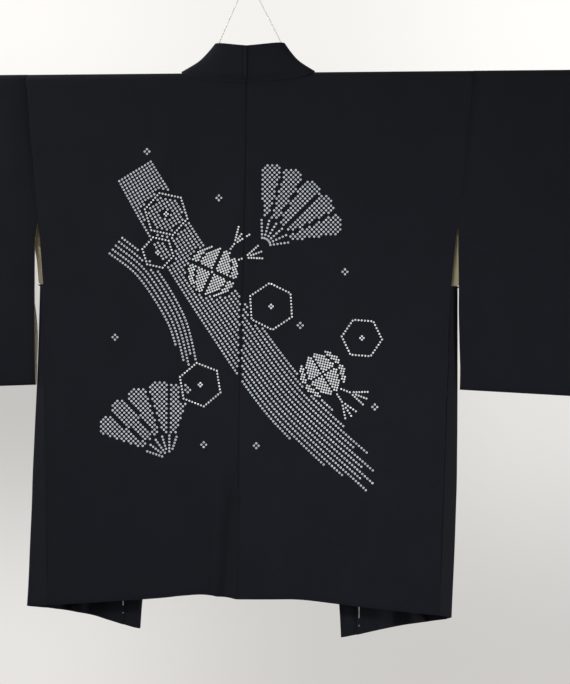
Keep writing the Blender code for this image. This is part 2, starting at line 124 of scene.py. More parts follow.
def even_step(value: np.ndarray | float, low: float, high: float) -> np.ndarray:
    """0 below low, 1 above high, and an even S between."""
    share = np.clip((np.asarray(value) - low) / (high - low), 0.0, 1.0)
    return share * share * (3 - 2 * share)


def eased(value: np.ndarray | float, table: tuple[Point2, ...]) -> np.ndarray:
    """A table's level at a value, with an even S from each place to the next."""
    places, levels = (np.array(column) for column in zip(*table))
    at = np.clip(np.searchsorted(places, value) - 1, 0, len(places) - 2)
    return levels[at] + (levels[at + 1] - levels[at]) * even_step(value, places[at], places[at + 1])


def bump(value: np.ndarray, middle: float, reach: float) -> np.ndarray:
    """1 at the middle, and 0 from reach away on."""
    return np.clip(1 - ((value - middle) / reach) ** 2, 0.0, 1.0) ** 2


def deselect_all() -> None:
    """Leave object mode with nothing selected, so that an operator acts on what is picked next."""
    if bpy.context.object and bpy.context.object.mode != "OBJECT":
        bpy.ops.object.mode_set(mode="OBJECT")
    for item in list(bpy.context.selected_objects):
        item.select_set(False)


def pick(piece: Object) -> None:
    """Make one object the selected and active one."""
    deselect_all()
    piece.select_set(True)
    bpy.context.view_layer.objects.active = piece


def put(name: str, data: ID) -> Object:
    """Put a new object with this data into the scene."""
    item = bpy.data.objects.new(name, data)
    bpy.context.scene.collection.objects.link(item)
    return item


def apply_modifier(piece: Object, kind: str, **settings: object) -> None:
    """Add a modifier with these settings and apply it.

    Args:
        piece: the mesh object.
        kind: Blender's name of the modifier's type.
        settings: values of the modifier's properties.
    """
    modifier = piece.modifiers.new(kind.lower(), kind)
    for name, value in settings.items():
        setattr(modifier, name, value)
    pick(piece)
    bpy.ops.object.modifier_apply(modifier=modifier.name)


def place_transforms(piece: Object) -> None:
    """Move an object's place, turn and scale into its mesh."""
    pick(piece)
    bpy.ops.object.transform_apply(location=True, rotation=True, scale=True)


def mesh_points(piece: Object) -> np.ndarray:
    """The mesh's points as an array of rows of three."""
    points = np.empty(len(piece.data.vertices) * 3, np.float32)
    piece.data.vertices.foreach_get("co", points)
    return points.reshape(-1, 3).astype(float)


def set_mesh_points(piece: Object, points: np.ndarray) -> None:
    """Write the mesh's points back."""
    piece.data.vertices.foreach_set("co", points.astype(np.float32).ravel())
    piece.data.update()


def mark_points(mesh: Mesh, name: str, values: Iterable[float]) -> None:
    """Give each point of a mesh its value of a new attribute."""
    mesh.attributes.new(name, "FLOAT", "POINT").data.foreach_set("value", values)


def smooth_mesh(name: str, points: list[Iterable[float]], faces: list[tuple[int, ...]],
                mark: tuple[str, Iterable[float]]) -> Object:
    """Make a smooth mesh that is laid on the cloth.

    Args:
        name: the piece's name.
        points: its points in the frame.
        faces: the points' indices of each face.
        mark: name and values of an attribute of its points.

    Returns:
        The object.
    """
    mesh = bpy.data.meshes.new(name)
    mesh.from_pydata(points, [], faces)
    mark_points(mesh, *mark)
    piece = put(name, mesh)
    pick(piece)
    bpy.ops.object.shade_smooth()
    return piece


def walls_of(pieces: Iterable[Object]) -> list[BVHTree]:
    """The pieces' surfaces, ready to be met by rays."""
    view = bpy.context.evaluated_depsgraph_get()
    return [BVHTree.FromObject(piece, view) for piece in pieces]


def first_met(walls: list[BVHTree], start: Vector) -> float:
    """The frame's Y at which a ray from a point forwards meets the nearest of the walls."""
    hits = [wall.ray_cast(start, FORWARDS)[0] for wall in walls]
    return min(hit.y for hit in hits if hit is not None)


def seat(piece: Object, material: Material, slot: Slot, *nodes: str) -> Object:
    """Give a finished piece its material, let it ride on the body in place of its solids, and report it.

    Args:
        piece: the finished object.
        material: its only material.
        slot: the record's slot that the material belongs to; not used.
        nodes: the frame's nodes that the piece stands for.

    Returns:
        The same piece.
    """
    piece.data.materials.clear()
    piece.data.materials.append(material)
    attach(piece, ROOT_BODY)
    if nodes:
        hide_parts(*nodes)
    LOG.info("%s: %s", piece.name, material.name)
    return piece


# ---------------------------------------------------------------- finishes

class Nodes:
    """A node tree under construction."""

    def __init__(self, tree: NodeTree) -> None:
        """Take the tree that the nodes are added to."""
        self.tree = tree

    def add(self, kind: str, inputs: dict[str, object] | None = None, **settings: object) -> Node:
        """Add a node.

        Args:
            kind: the node's type without its ShaderNode prefix.
            inputs: socket values or the sockets to link from, by socket name.
            settings: the node's own properties.

        Returns:
            The node.
        """
        node = self.tree.nodes.new("ShaderNode" + kind)
        for name, value in settings.items():
            setattr(node, name, value)
        for name, value in (inputs or {}).items():
            self.feed(node.inputs[name], value)
        return node

    def feed(self, socket: NodeSocket, value: object) -> None:
        """Link a socket from another, or set its value: a colour's with full alpha."""
        if isinstance(value, NodeSocket):
            self.tree.links.new(value, socket)
        else:
            socket.default_value = (*value, 1.0) if socket.type == "RGBA" else value

    def blend(self, share: object, first: object, second: object, kind: str = "MIX") -> NodeSocket:
        """A colour between two, by a share from 0 to 1."""
        node = self.add("Mix", data_type="RGBA", blend_type=kind)
        for socket, value in zip((node.inputs[0], node.inputs[6], node.inputs[7]), (share, first, second)):
            self.feed(socket, value)
        return node.outputs[2]

    def ramp(self, value: NodeSocket, low: float, high: float, start: float = 0.0,
             end: float = 1.0) -> NodeSocket:
        """A value's range from low to high spread over start to end."""
        inputs = {"Value": value, "From Min": low, "From Max": high, "To Min": start, "To Max": end}
        return self.add("MapRange", inputs).outputs["Result"]


class Shading(Nodes):
    """A node material under construction, around one Principled shader."""

    # what most of a noise's values lie between
    NOISE_RANGE = (0.3, 0.7)
    # ribs of a wave texture in its own unit of length
    WAVE_RIBS = math.tau / 20

    def __init__(self, name: str, **sockets: object) -> None:
        """Start a material and set values on the shader's own sockets."""
        self.material = bpy.data.materials.new(name)
        self.material.use_nodes = True
        super().__init__(self.material.node_tree)
        self.shader = self.tree.nodes["Principled BSDF"]
        for socket, value in sockets.items():
            self.feed(self.shader.inputs[socket.replace("_", " ")], value)

    def grid(self, turn: float = 0.0, stretch: tuple[float, float, float] = (1.0, 1.0, 1.0)) -> NodeSocket:
        """Object coordinates in millimetres, turned about Y by an angle in degrees and then stretched."""
        place = self.add("TexCoord")
        scale = tuple(value / MM for value in stretch)
        mapping = self.add("Mapping", {"Vector": place.outputs["Object"], "Rotation": (0, math.radians(turn), 0),
                                       "Scale": scale})
        return mapping.outputs["Vector"]

    def noise(self, size: float, detail: float = 2.0, vector: NodeSocket | None = None,
              **extra: float) -> NodeSocket:
        """Noise whose grains are about size millimetres across."""
        inputs = {"Vector": vector or self.grid(), "Scale": 1 / size, "Detail": detail, **extra}
        return self.add("TexNoise", inputs).outputs["Fac"]

    def bands(self, pitch: float, vector: NodeSocket, direction: str = "X", distortion: float = 0.0,
              detail_size: float = 1.0) -> NodeSocket:
        """Rounded ribs at a pitch in millimetres across the X or Z of a vector."""
        inputs = {"Vector": vector, "Scale": self.WAVE_RIBS / pitch, "Distortion": distortion, "Detail": 1.0,
                  "Detail Scale": detail_size}
        return self.add("TexWave", inputs, bands_direction=direction).outputs["Fac"]

    def mark(self, name: str) -> NodeSocket:
        """The value of an attribute of the mesh's points."""
        return self.add("Attribute", attribute_name=name).outputs["Fac"]

    def relief(self, *layers: tuple[NodeSocket, float]) -> None:
        """Bump the surface by layers of heights, each with its full depth in millimetres."""
        normal = None
        for height, depth in layers:
            inputs = {"Height": height, "Distance": depth * MM, "Strength": 1.0}
            if normal is not None:
                inputs["Normal"] = normal
            normal = self.add("Bump", inputs).outputs["Normal"]
        self.feed(self.shader.inputs["Normal"], normal)

    def colour(self, value: object) -> None:
        """Feed the base colour."""
        self.feed(self.shader.inputs["Base Color"], value)

    def roughness(self, noise: NodeSocket, low: float, high: float) -> None:
        """Spread the roughness from low to high over a noise."""
        self.feed(self.shader.inputs["Roughness"], self.ramp(noise, *self.NOISE_RANGE, low, high))


@dataclass(frozen=True)
class CrepeFinish:
    """Near-black silk crepe: pebbled threads with a faint slanting rib, and a soft low sheen."""

    name: str = "black_crepe"
    shade: Colour = (0.0036, 0.0039, 0.0063)
    light: Colour = (0.0071, 0.0077, 0.0114)
    sheen: Colour = (0.72, 0.76, 1.0)
    # black and pressed: the painted shadow along the seams and the collar tuck, its colour and how far it darkens the
    # crepe
    black: Colour = (0.0, 0.0, 0.0)
    pressed: float = 0.3
    rib_turn: float = 32.0
    rib_pitch: float = 3.1
    rib_share: float = 0.35
    weave_share: float = 0.76
    pebble: float = 0.9
    thread: float = 0.7
    mottle: float = 38.0
    crumple: float = 17.0
    crumple_stretch: tuple[float, float, float] = (1.0, 1.0, 0.55)

    def material(self) -> Material:
        """Build the material."""
        make = Shading(self.name, Specular_IOR_Level=0.07, Sheen_Weight=0.02, Sheen_Roughness=0.45,
                       Sheen_Tint=self.sheen)
        rib = make.bands(self.rib_pitch, make.grid(self.rib_turn), distortion=1.6, detail_size=0.35)
        thread = make.bands(self.thread, make.grid(), "Z", distortion=3.0, detail_size=0.9)
        pebble = make.noise(self.pebble)
        mottle = make.noise(self.mottle, 3.0)
        crumple = make.noise(self.crumple, 3.0, make.grid(0.0, self.crumple_stretch))
        tone = make.blend(self.weave_share, mottle, make.blend(self.rib_share, pebble, rib))
        cloth = make.blend(make.ramp(tone, *make.NOISE_RANGE), self.shade, self.light)
        # painted shadow: the crepe is darkened towards black by the points' mark of painted shade along seams and the
        # collar tuck
        press = make.ramp(make.mark(Seam.PRESS), 0.5, 1.0, 0.0, 1 - self.pressed)
        make.colour(make.blend(press, cloth, self.black))
        make.roughness(pebble, 0.62, 0.8)
        make.relief((crumple, 0.24), (rib, 0.1), (pebble, 0.16), (thread, 0.07))
        return make.material


@dataclass(frozen=True)
class LiningFinish:
    """Plain cream silk with a fine even weave."""

    name: str = "cream_lining"
    shade: Colour = (0.47, 0.39, 0.24)
    light: Colour = (0.62, 0.55, 0.38)
    weave: float = 0.55
    cloud: float = 46.0
    ripple: float = 21.0

    def material(self) -> Material:
        """Build the material."""
        make = Shading(self.name, Specular_IOR_Level=0.35, Sheen_Weight=0.15, Sheen_Roughness=0.4)
        warp, weft = (make.bands(self.weave, make.grid(), direction, distortion=1.0) for direction in "XZ")
        cloud = make.noise(self.cloud, 3.0)
        make.colour(make.blend(make.ramp(cloud, 0.1, 0.9), self.shade, self.light))
        make.roughness(cloud, 0.5, 0.62)
        make.relief((make.noise(self.ripple, 3.0), 0.35), (warp, 0.05), (weft, 0.05))
        return make.material


@dataclass(frozen=True)
class WoodFinish:
    """Plain sanded wood whose grain runs along the rod."""

    name: str = "pale_wood"
    early: Colour = (0.56, 0.38, 0.2)
    late: Colour = (0.36, 0.21, 0.1)
    grain: float = 3.2
    fibre: float = 0.5

    def material(self) -> Material:
        """Build the material."""
        make = Shading(self.name, Specular_IOR_Level=0.4)
        grain = make.noise(self.grain, 4.0, make.grid(0.0, (0.02, 1.0, 1.0)), Distortion=0.6)
        fibre = make.noise(self.fibre, 2.0, make.grid(0.0, (0.05, 1.0, 1.0)))
        make.colour(make.blend(make.ramp(grain, 0.35, 0.65), self.early, self.late))
        make.roughness(fibre, 0.45, 0.62)
        make.relief((grain, 0.15), (fibre, 0.08))
        return make.material


@dataclass(frozen=True)
class StringFinish:
    """Undyed cotton string, laid from twisted strands."""

    name: str = "cotton_string"
    shade: Colour = (0.62, 0.6, 0.54)
    light: Colour = (0.85, 0.84, 0.8)
    lay: float = 2.4
    lay_turn: float = 40.0
    fuzz: float = 0.6

    def material(self) -> Material:
        """Build the material."""
        make = Shading(self.name, Specular_IOR_Level=0.2, Sheen_Weight=0.2)
        strand = make.bands(self.lay, make.grid(self.lay_turn), distortion=0.4)
        fuzz = make.noise(self.fuzz)
        make.colour(make.blend(make.blend(0.3, strand, fuzz), self.shade, self.light))
        make.roughness(fuzz, 0.75, 0.95)
        make.relief((strand, 0.25), (fuzz, 0.08))
        return make.material


@dataclass(frozen=True)
class DyedFinish:
    """The rings that bound dyeing leaves on the crepe: pale on the ring, dark in its middle and at its rim."""

    name: str
    ring: Colour
    ground: Colour = (0.012, 0.012, 0.018)
    uneven: float = 0.3
    patch: float = 1.1
    fuzz: float = 0.7

    def material(self) -> Material:
        """Build the material."""
        make = Shading(self.name, Specular_IOR_Level=0.2, Sheen_Weight=0.05)
        patch = make.noise(self.patch)
        worn = make.blend(make.ramp(patch, 0.3, 0.75, 0.0, self.uneven), self.ring, self.ground)
        make.colour(make.blend(make.ramp(make.mark(DotPrint.DYE), 0.25, 0.75), self.ground, worn))
        make.roughness(patch, 0.6, 0.8)
        make.relief((make.noise(self.fuzz), 0.1))
        return make.material


@dataclass(frozen=True)
class PlainFinish:
    """A matt painted surface for the floor, with the faintest unevenness."""

    name: str
    tone: float
    cloud: float = 340.0

    def material(self) -> Material:
        """Build the material."""
        make = Shading(self.name, Specular_IOR_Level=0.2)
        cloud = make.noise(self.cloud)
        low, high = ((self.tone * share,) * 3 for share in (0.97, 1.0))
        make.colour(make.blend(cloud, low, high))
        make.roughness(cloud, 0.8, 0.9)
        return make.material


# ---------------------------------------------------------------- drape

@dataclass(frozen=True)
class Crease:
    """A soft ridge in hanging cloth, or a trough where its height is negative, that fades out at both ends.

    Attributes:
        x: where its upper end is across the garment.
        depth: how far down its upper end is.
        to_x: where its lower end is across.
        to_depth: how far down its lower end is.
        half_width: the distance from its line at which it has gone.
        height: how far its line stands out from the cloth.
        bow: how far its middle bends away from the straight line, to the right of the way down.
        fade: the share of its length over which each end fades, 0 for one that ends in a seam.
    """

    x: float
    depth: float
    to_x: float
    to_depth: float
    half_width: float
    height: float
    bow: float = 0.0
    fade: float = 0.35

    def lift(self, x: np.ndarray, depth: np.ndarray) -> np.ndarray:
        """How far each place is lifted."""
        run = np.array((self.to_x - self.x, self.to_depth - self.depth))
        length = float(np.hypot(*run))
        way = run / length
        share = ((x - self.x) * way[0] + (depth - self.depth) * way[1]) / length
        off = (x - self.x) * way[1] - (depth - self.depth) * way[0]
        inside = np.clip(share, 0.0, 1.0)
        off = np.hypot(off - self.bow * 4 * inside * (1 - inside), (share - inside) * length)
        across = self.height * bump(off, 0.0, self.half_width)
        if not self.fade:
            return across
        return across * even_step(share, 0.0, self.fade) * (1 - even_step(share, 1 - self.fade, 1.0))


def creases(*rows: tuple[float, ...]) -> tuple[Crease, ...]:
    """Creases from rows of their numbers."""
    return tuple(Crease(*row) for row in rows)


@dataclass(frozen=True)
class Seam:
    """A sewn line through points of X and depth, where two cut pieces are drawn together edge to edge.

    Attributes:
        line: the points, from the top down.
        draw: how far each edge is drawn along X.
        shadow: how deep the painted shadow along the line is.
        reach: the distance along X at which both have gone.
    """

    line: tuple[Point2, ...]
    draw: float = 0.17
    shadow: float = 0.7
    reach: float = 2.6

    # name of the points' mark of painted shadow along the seams, which darkens the crepe's colour
    PRESS = "press"

    def near(self, x: np.ndarray, depth: np.ndarray) -> tuple[np.ndarray, np.ndarray]:
        """The side of the seam that each place is on, and its nearness: 1 within the draw and 0 from the reach on."""
        places, depths = zip(*self.line)
        inside = (depth >= depths[0]) & (depth <= depths[-1])
        off = x - np.interp(depth, depths, places)
        return np.sign(off), (1 - even_step(np.abs(off), self.draw, self.reach)) * inside

    def pull(self, x: np.ndarray, depth: np.ndarray) -> np.ndarray:
        """How far each place is drawn along X towards the seam."""
        sign, near = self.near(x, depth)
        return -sign * self.draw * near

    def press(self, x: np.ndarray, depth: np.ndarray) -> np.ndarray:
        """How deep in the seam's painted shadow each place lies."""
        return self.shadow * self.near(x, depth)[1]


@dataclass(frozen=True)
class Drape:
    """The main creases of the hung jacket, one set for all that faces back and one for all that faces front.

    Every piece reads the same set, so its edges and its lining move with their neighbours.

    Attributes:
        garment: the garment's place.
        back: creases of all that faces back.
        front: creases of all that faces front.
        seams: the sewn lines, back and front.
        free_depths: where the cloth begins to come free of the rod, and the depth below which it hangs free.
        wall_reach: the distance from the middle plane at which creases have their full height.
        sway: how far the middle of the back hangs to the left at its lowest.
    """

    garment: Garment
    back: tuple[Crease, ...]
    front: tuple[Crease, ...]
    seams: tuple[Seam, ...]
    free_depths: Point2 = (10.4, 26.0)
    wall_reach: float = 7.0
    sway: float = 6.6

    SWAY_DEPTHS = (110.0, 560.0)
    SWAY_REACH = 285.0
    # distances from the middle plane over which the sway, the slit's flare and the sleeve's edge grow to their full
    BACK_WALL = (4.0, 10.0)
    SLIT_WALL = (2.0, 9.0)
    SLEEVE_WALL = (2.5, 6.0)
    SLIT_EDGE = 306.0
    # distances outwards from the slit's edge: where the flare starts, and over which it and the sleeve's edge fade
    FLARE_START = -60.0
    FLARE_ENDS = (16.0, 110.0)
    SLEEVE_ENDS = (16.0, 62.0)
    # depth, and how far the front's edge of the slit under the arm stands out to the side
    FLARES = {Side.LEFT: ((222, 0), (240, 17), (262, 16.5), (282, 14.8), (318, 14.2), (326, 0)),
              Side.RIGHT: ((222, 0), (242, 12), (282, 10.5), (318, 10.8), (326, 0))}
    # the same for the front layer of the sleeve
    SLEEVE_FLARE = ((222, 0), (240, 15), (275, 15), (405, 0))
    # depth, and how far the sleeve's inner edge lies further out than its solid's
    SLEEVE_EDGE = {Side.LEFT: ((150, 0), (205, -1.2), (221, -2.4), (236, -1.6), (256, 0)),
                   Side.RIGHT: ((150, 0), (205, -1.2), (221, -2.5), (262, -3.6), (340, -2.8), (470, 0.8))}
    # depth, and a distance outwards that lies between the body and the sleeve
    ARMHOLE = ((150, 324.5), (190, 319.9), (220, 317.4), (320, 316))
    # height, middle and reach of the lift of the front's hem, and of the bow of the front's edge above it
    HEM_LIFT = {Side.LEFT: (4.2, 236, 78), Side.RIGHT: (2.9, 230, 85)}
    HEM_DEPTHS = (560, 800)
    EDGE_BOW = {Side.LEFT: (4.6, 790, 85), Side.RIGHT: (3.2, 790, 85)}
    EDGE_REACH = (180, 262)

    def settle(self, piece: Object) -> None:
        """Move a piece's points out of or into the garment by the creases there, and sideways by its seams."""
        points = mesh_points(piece)
        x, y, depth = self.garment.measures(points)
        # mark each point with the seams' painted shadow, which darkens the crepe's colour along them
        mark_points(piece.data, Seam.PRESS, np.max([seam.press(x, depth) for seam in self.seams], axis=0))
        hanging = even_step(depth, *self.free_depths) * even_step(np.abs(y), 1.0, self.wall_reach)
        for wall, folds, sign in ((y < 0, self.back, -1.0), (y >= 0, self.front, 1.0)):
            lift = sum(crease.lift(x[wall], depth[wall]) for crease in folds)
            points[wall, 1] += sign * lift * hanging[wall] * MM
        points[:, 0] += (sum(seam.pull(x, depth) for seam in self.seams) + self.swing(x, y, depth)) * MM
        for side in Side:
            out = np.maximum(x * side.value, 0.0)
            points[:, 0] += side.value * self.spread(side, out, y, depth) * MM
            height, middle, reach = self.HEM_LIFT[side]
            points[:, 2] += height * bump(out, middle, reach) * even_step(depth, *self.HEM_DEPTHS) * (y > 0) * MM
        set_mesh_points(piece, points)

    def middle(self, depth: np.ndarray | float) -> np.ndarray:
        """Where the centre-back seam hangs at a depth."""
        return -self.sway * even_step(depth, *self.SWAY_DEPTHS)

    def swing(self, x: np.ndarray, y: np.ndarray, depth: np.ndarray) -> np.ndarray:
        """How far the back's middle hangs to the side."""
        return self.middle(depth) * bump(x, 0.0, self.SWAY_REACH) * even_step(-y, *self.BACK_WALL)

    def spread(self, side: Side, out: np.ndarray, y: np.ndarray, depth: np.ndarray) -> np.ndarray:
        """How far outwards one side's edges stand: at the slit under the arm, on the sleeve and above the hem.

        Args:
            side: the side of the jacket.
            out: distance outwards from the centre-back seam.
            y: distance forwards from the middle plane.
            depth: depth below the shoulders.

        Returns:
            The distances.
        """
        off = out - self.SLIT_EDGE
        sleeve = out > np.interp(depth, *zip(*self.ARMHOLE))
        flare = np.where(sleeve, eased(depth, self.SLEEVE_FLARE), eased(depth, self.FLARES[side]))
        flare *= even_step(off, self.FLARE_START, 0.0) * (1 - even_step(off, *self.FLARE_ENDS))
        flare *= even_step(y, *self.SLIT_WALL)
        edge = eased(depth, self.SLEEVE_EDGE[side]) * even_step(np.abs(y), *self.SLEEVE_WALL) * sleeve
        edge *= 1 - even_step(off, *self.SLEEVE_ENDS)
        height, middle, reach = self.EDGE_BOW[side]
        bow = height * bump(depth, middle, reach) * (1 - even_step(out, *self.EDGE_REACH)) * (y > 0) * (out > 0)
        return flare + edge + bow


def both_sides(*points: Point2) -> Iterable[tuple[Point2, ...]]:
    """Points of X and depth as they lie on the left, where X is negative, and on the right."""
    for side in Side:
        yield tuple((side.value * out, depth) for out, depth in points)


# The sewn lines; each is also painted darker along its line by its shadow, as painted shadow in the crepe's colour
SEAMS = (
    Seam(((0.0, -60.0), (0.0, 830.0)), shadow=0.94),
    *(Seam(line, 0.36) for line in both_sides((337.4, -16.0), (337.4, 9.0), (337.12, 13.9), (316.0, 225.5))),
    *(Seam(line) for edge in (293.5, 304.0) for line in both_sides((306.3, 319.5), (edge, 805.0), (edge, 840.0))),
)

# The dents of the armhole seams, and of the seams between the body and the gussets
SIDE_DIPS = (
    *(Crease(*start, *end, 4.4, -0.45, fade=0.0) for start, end in both_sides((338.7, 0.0), (316.0, 225.5))),
    *(Crease(*start, *end, 4.0, -0.7, fade=0.0) for start, end in both_sides((306.3, 319.5), (293.5, 830.0))),
)

# Rows of x, depth, to_x, to_depth, half_width, height, bow and fade
BACK_CREASES = SIDE_DIPS + creases(
    # the dent of the centre-back seam, and the small ridge of its turnings on the left
    (1.4, 14, 1.4, 830, 3.2, -0.75, 0, 0),
    (-3.6, 14, -3.6, 830, 4, 0.3, 0, 0),
    # the soft ridge beside the centre-back seam, and the shallow hollow next to it
    (-30, 40, -26, 600, 44, 2.2, 4),
    (-88, 150, -70, 640, 36, -1.2, -6),
    (-62, 540, -46, 800, 24, -0.8, 0, 0.25),
    (-9, 585, -24, 900, 19, -8.5, 0, 0.25),
    (30, 420, 34, 800, 40, 1.8, 0, 0.3),
    # lines from folded storage: one down the left back, two across the right back and a short one under the neck
    (-110, 84, -109, 410, 4.4, -0.8, 1, 0.1),
    (8, 94, 336, 97, 5, -1, 0, 0.08),
    (8, 287, 300, 289, 4.4, -0.6, 0, 0.08),
    (97, 20, 99, 140, 3.6, -0.4, 0, 0.15),
    # the hollow along the left side
    (-296, 318, -280, 800, 15, -0.7, 0, 0.2),
    # drags that run down and out from the neck and the armholes, and the swells above the hem
    (-96, 18, -190, 330, 30, 1.3, 8),
    (100, 18, 205, 360, 34, 1.2, -8),
    (-232, 60, -246, 520, 40, -1.3, 6),
    (228, 70, 238, 560, 44, -1.4, -5),
    (150, 420, 128, 790, 38, 1.5, 5),
    (-180, 430, -164, 790, 40, 1.3, -6),
    (-266, 420, -258, 790, 26, 1),
    (262, 430, 252, 790, 28, 1.1),
    # sleeves: drags from the armholes, and the swell of the bag
    (-352, 110, -378, 250, 13, -1.1, 3, 0.4),
    (-340, 60, -470, 380, 42, 1.8, 10),
    (-400, 40, -560, 420, 46, -1.6, 8),
    (-330, 190, -420, 440, 26, -1.3, -6),
    (340, 50, 455, 400, 44, 1.7, -9),
    (402, 50, 545, 410, 48, -1.6, -8),
    (334, 180, 400, 440, 24, -1.2, 5),
    (620, 60, 590, 400, 40, 1.6, 6),
    (-622, 60, -596, 400, 40, 1.5, -6),
)

FRONT_CREASES = SIDE_DIPS + creases(
    (-116, 60, -196, 420, 30, 1.6, 6),
    (118, 60, 188, 440, 30, 1.5, -6),
    (-246, 40, -238, 470, 38, -1.8, -5),
    (244, 50, 232, 460, 36, -1.7, 5),
    (-205, 430, -222, 820, 15, -1.6, 4),
    (206, 450, 224, 820, 14, -1.5, -4),
    (-290, 380, -286, 800, 14, 1.2),
    (288, 380, 284, 800, 15, 1.2),
    (-344, 60, -462, 390, 42, 1.9, 8),
    (-410, 50, -570, 420, 44, -1.7, 7),
    (346, 60, 470, 380, 44, 1.8, -8),
    (412, 50, 556, 420, 46, -1.6, -7),
    (332, 190, 408, 440, 26, -1.3, 5),
    (-332, 190, -412, 440, 26, -1.3, -5),
    (618, 70, 588, 400, 40, 1.5, 5),
    (-618, 70, -590, 400, 40, 1.5, -5),
)


# ---------------------------------------------------------------- cloth

@dataclass(frozen=True)
class Cloth:
    """One cut piece of cloth: a thin shell on its solid's form.

    Attributes:
        node: the frame's node that it stands for.
        flat: width and length of its cut, in metres; not used.
        area: flat area in square metres where the cut is no rectangle; not used.
        slot: the record's slot of its cloth.
        edge_round: radius of its turned edges, in millimetres.
        clear: how far it is drawn towards the garment's middle plane, in millimetres, clear of its outer cloth.
    """

    node: str
    flat: Point2
    area: float | None = None
    slot: Slot = Slot.CREPE
    edge_round: float = 0.5
    clear: float = 0.0

    # the first word of its name
    FABRICS = {Slot.CREPE: "crepe", Slot.LINING: "silk"}
    RIM_ANGLE = math.radians(62.0)
    WELD = 2e-5
    # how often its grid is halved, and the steps of its turned edges
    LEVELS = 3
    EDGE_STEPS = 2

    def build(self, drape: Drape, material: Material) -> Object:
        """Args:
            drape: the creases that it takes.
            material: its cloth.

        Returns:
            The finished piece.
        """
        piece = self.quad_shell()
        self.hold_rim(piece)
        apply_modifier(piece, "SUBSURF", levels=self.LEVELS, render_levels=self.LEVELS)
        self.refine(piece, drape.garment)
        drape.settle(piece)
        apply_modifier(piece, "BEVEL", width=self.edge_round * MM, segments=self.EDGE_STEPS, limit_method="ANGLE",
                       angle_limit=self.RIM_ANGLE)
        bpy.ops.object.shade_smooth()
        seat(piece, material, self.slot, self.node)
        return piece

    def refine(self, piece: Object, garment: Garment) -> None:
        """Draw a lining clear of its outer cloth."""
        points = mesh_points(piece)
        y = garment.measures(points)[1]
        points[:, 1] -= np.sign(y) * np.minimum(self.clear, np.abs(y)) * MM
        set_mesh_points(piece, points)

    def quad_shell(self) -> Object:
        """A copy of the solid's mesh, welded and turned back into its four-sided grid."""
        piece = put(f"{self.FABRICS[self.slot]}_{self.node}", bpy.data.objects[self.node].data.copy())
        pick(piece)
        bpy.ops.mesh.customdata_custom_splitnormals_clear()
        bpy.ops.object.mode_set(mode="EDIT")
        bpy.ops.mesh.select_all(action="SELECT")
        bpy.ops.mesh.remove_doubles(threshold=self.WELD)
        bpy.ops.mesh.tris_convert_to_quads(face_threshold=math.pi, shape_threshold=math.pi)
        bpy.ops.mesh.select_all(action="DESELECT")
        bpy.ops.object.mode_set(mode="OBJECT")
        return piece

    def hold_rim(self, piece: Object) -> None:
        """Crease the edges of the wall's narrow rim, so that subdivision keeps the outline of the cut."""
        grid = bmesh.new()
        grid.from_mesh(piece.data)
        crease = grid.edges.layers.float.new("crease_edge")
        for face in grid.faces:
            sharp = [edge for edge in face.edges if edge.calc_face_angle(0.0) > self.RIM_ANGLE]
            if len(sharp) > 1:
                for edge in sharp:
                    edge[crease] = 1.0
        grid.to_mesh(piece.data)
        grid.free()


@dataclass(frozen=True)
class CollarHalf(Cloth):
    """Half of the collar band, whose sewn edge is pressed down onto the back."""

    press: float = 1.9
    press_reach: float = 13.0

    # distance from the centre-back seam, and depth of the sewn edge there
    SEWN_EDGE = ((0, 17.5), (25, 16.5), (50, 14), (70, 11.8), (85, 9), (95, 5), (100, 0.6))

    def refine(self, piece: Object, garment: Garment) -> None:
        """Press the sewn edge down."""
        points = mesh_points(piece)
        x, y, depth = garment.measures(points)
        edge = np.interp(np.abs(x), *zip(*self.SEWN_EDGE))
        near = even_step(depth, edge - self.press_reach, edge - 1.0) * (np.abs(x) < self.SEWN_EDGE[-1][0])
        points[:, 1] += self.press * near * (y < 0) * MM
        set_mesh_points(piece, points)


@dataclass(frozen=True)
class Jacket:
    """All cut pieces of the jacket, with the size of each cut in metres."""

    body: Point2 = (0.34, 1.66)
    body_area: float = 0.47
    sleeve: Point2 = (0.356, 0.96)
    gusset: Point2 = (0.0575, 0.49)
    collar: Point2 = (0.06, 1.0)
    collar_edge: float = 0.9
    body_lining: Point2 = (0.34, 0.99)
    body_lining_area: float = 0.29
    sleeve_lining: Point2 = (0.354, 0.95)
    lining_edge: float = 0.3
    lining_clear: float = 0.35

    def pieces(self, side: Side) -> Iterable[Cloth]:
        """The cut pieces of one side, crepe first."""
        silk = (Slot.LINING, self.lining_edge, self.lining_clear)
        yield Cloth(f"body_{side.word}", self.body, self.body_area)
        yield Cloth(f"sleeve_{side.word}", self.sleeve)
        yield Cloth(f"gusset_{side.word}", self.gusset)
        yield CollarHalf(f"collar_{side.word}", self.collar, edge_round=self.collar_edge)
        yield Cloth(f"body_lining_{side.word}", self.body_lining, self.body_lining_area, *silk)
        yield Cloth(f"sleeve_lining_{side.word}", self.sleeve_lining, None, *silk)

    def build(self, drape: Drape, finishes: dict[Slot, Material]) -> dict[str, Object]:
        """Make every piece of cloth.

        Args:
            drape: the creases of the hung jacket.
            finishes: the material for each slot.

        Returns:
            The pieces by the names of their nodes.
        """
        return {cloth.node: cloth.build(drape, finishes[cloth.slot])
                for side in Side for cloth in self.pieces(side)}


# ---------------------------------------------------------------- dyed dots

def spaced(points: list[Point2], pitch: float) -> list[Point2]:
    """Points at an even pitch along a line of points."""
    line = np.array(points, float)
    runs = np.concatenate(([0.0], np.cumsum(np.hypot(*np.diff(line, axis=0).T))))
    at = np.linspace(0.0, runs[-1], max(2, round(runs[-1] / pitch) + 1))
    return list(zip(np.interp(at, runs, line[:, 0]), np.interp(at, runs, line[:, 1])))


def lattice(low: Point2, high: Point2, pitch: float) -> Iterable[Point2]:
    """Places of a square lattice that stands on its corners, between two corners of a box."""
    step = pitch * math.sqrt(0.5)
    for row in range(int((high[1] - low[1]) / step) + 1):
        for column in range(int((high[0] - low[0]) / step) + 1):
            if (row + column) % 2 == 0:
                yield low[0] + column * step, low[1] + row * step


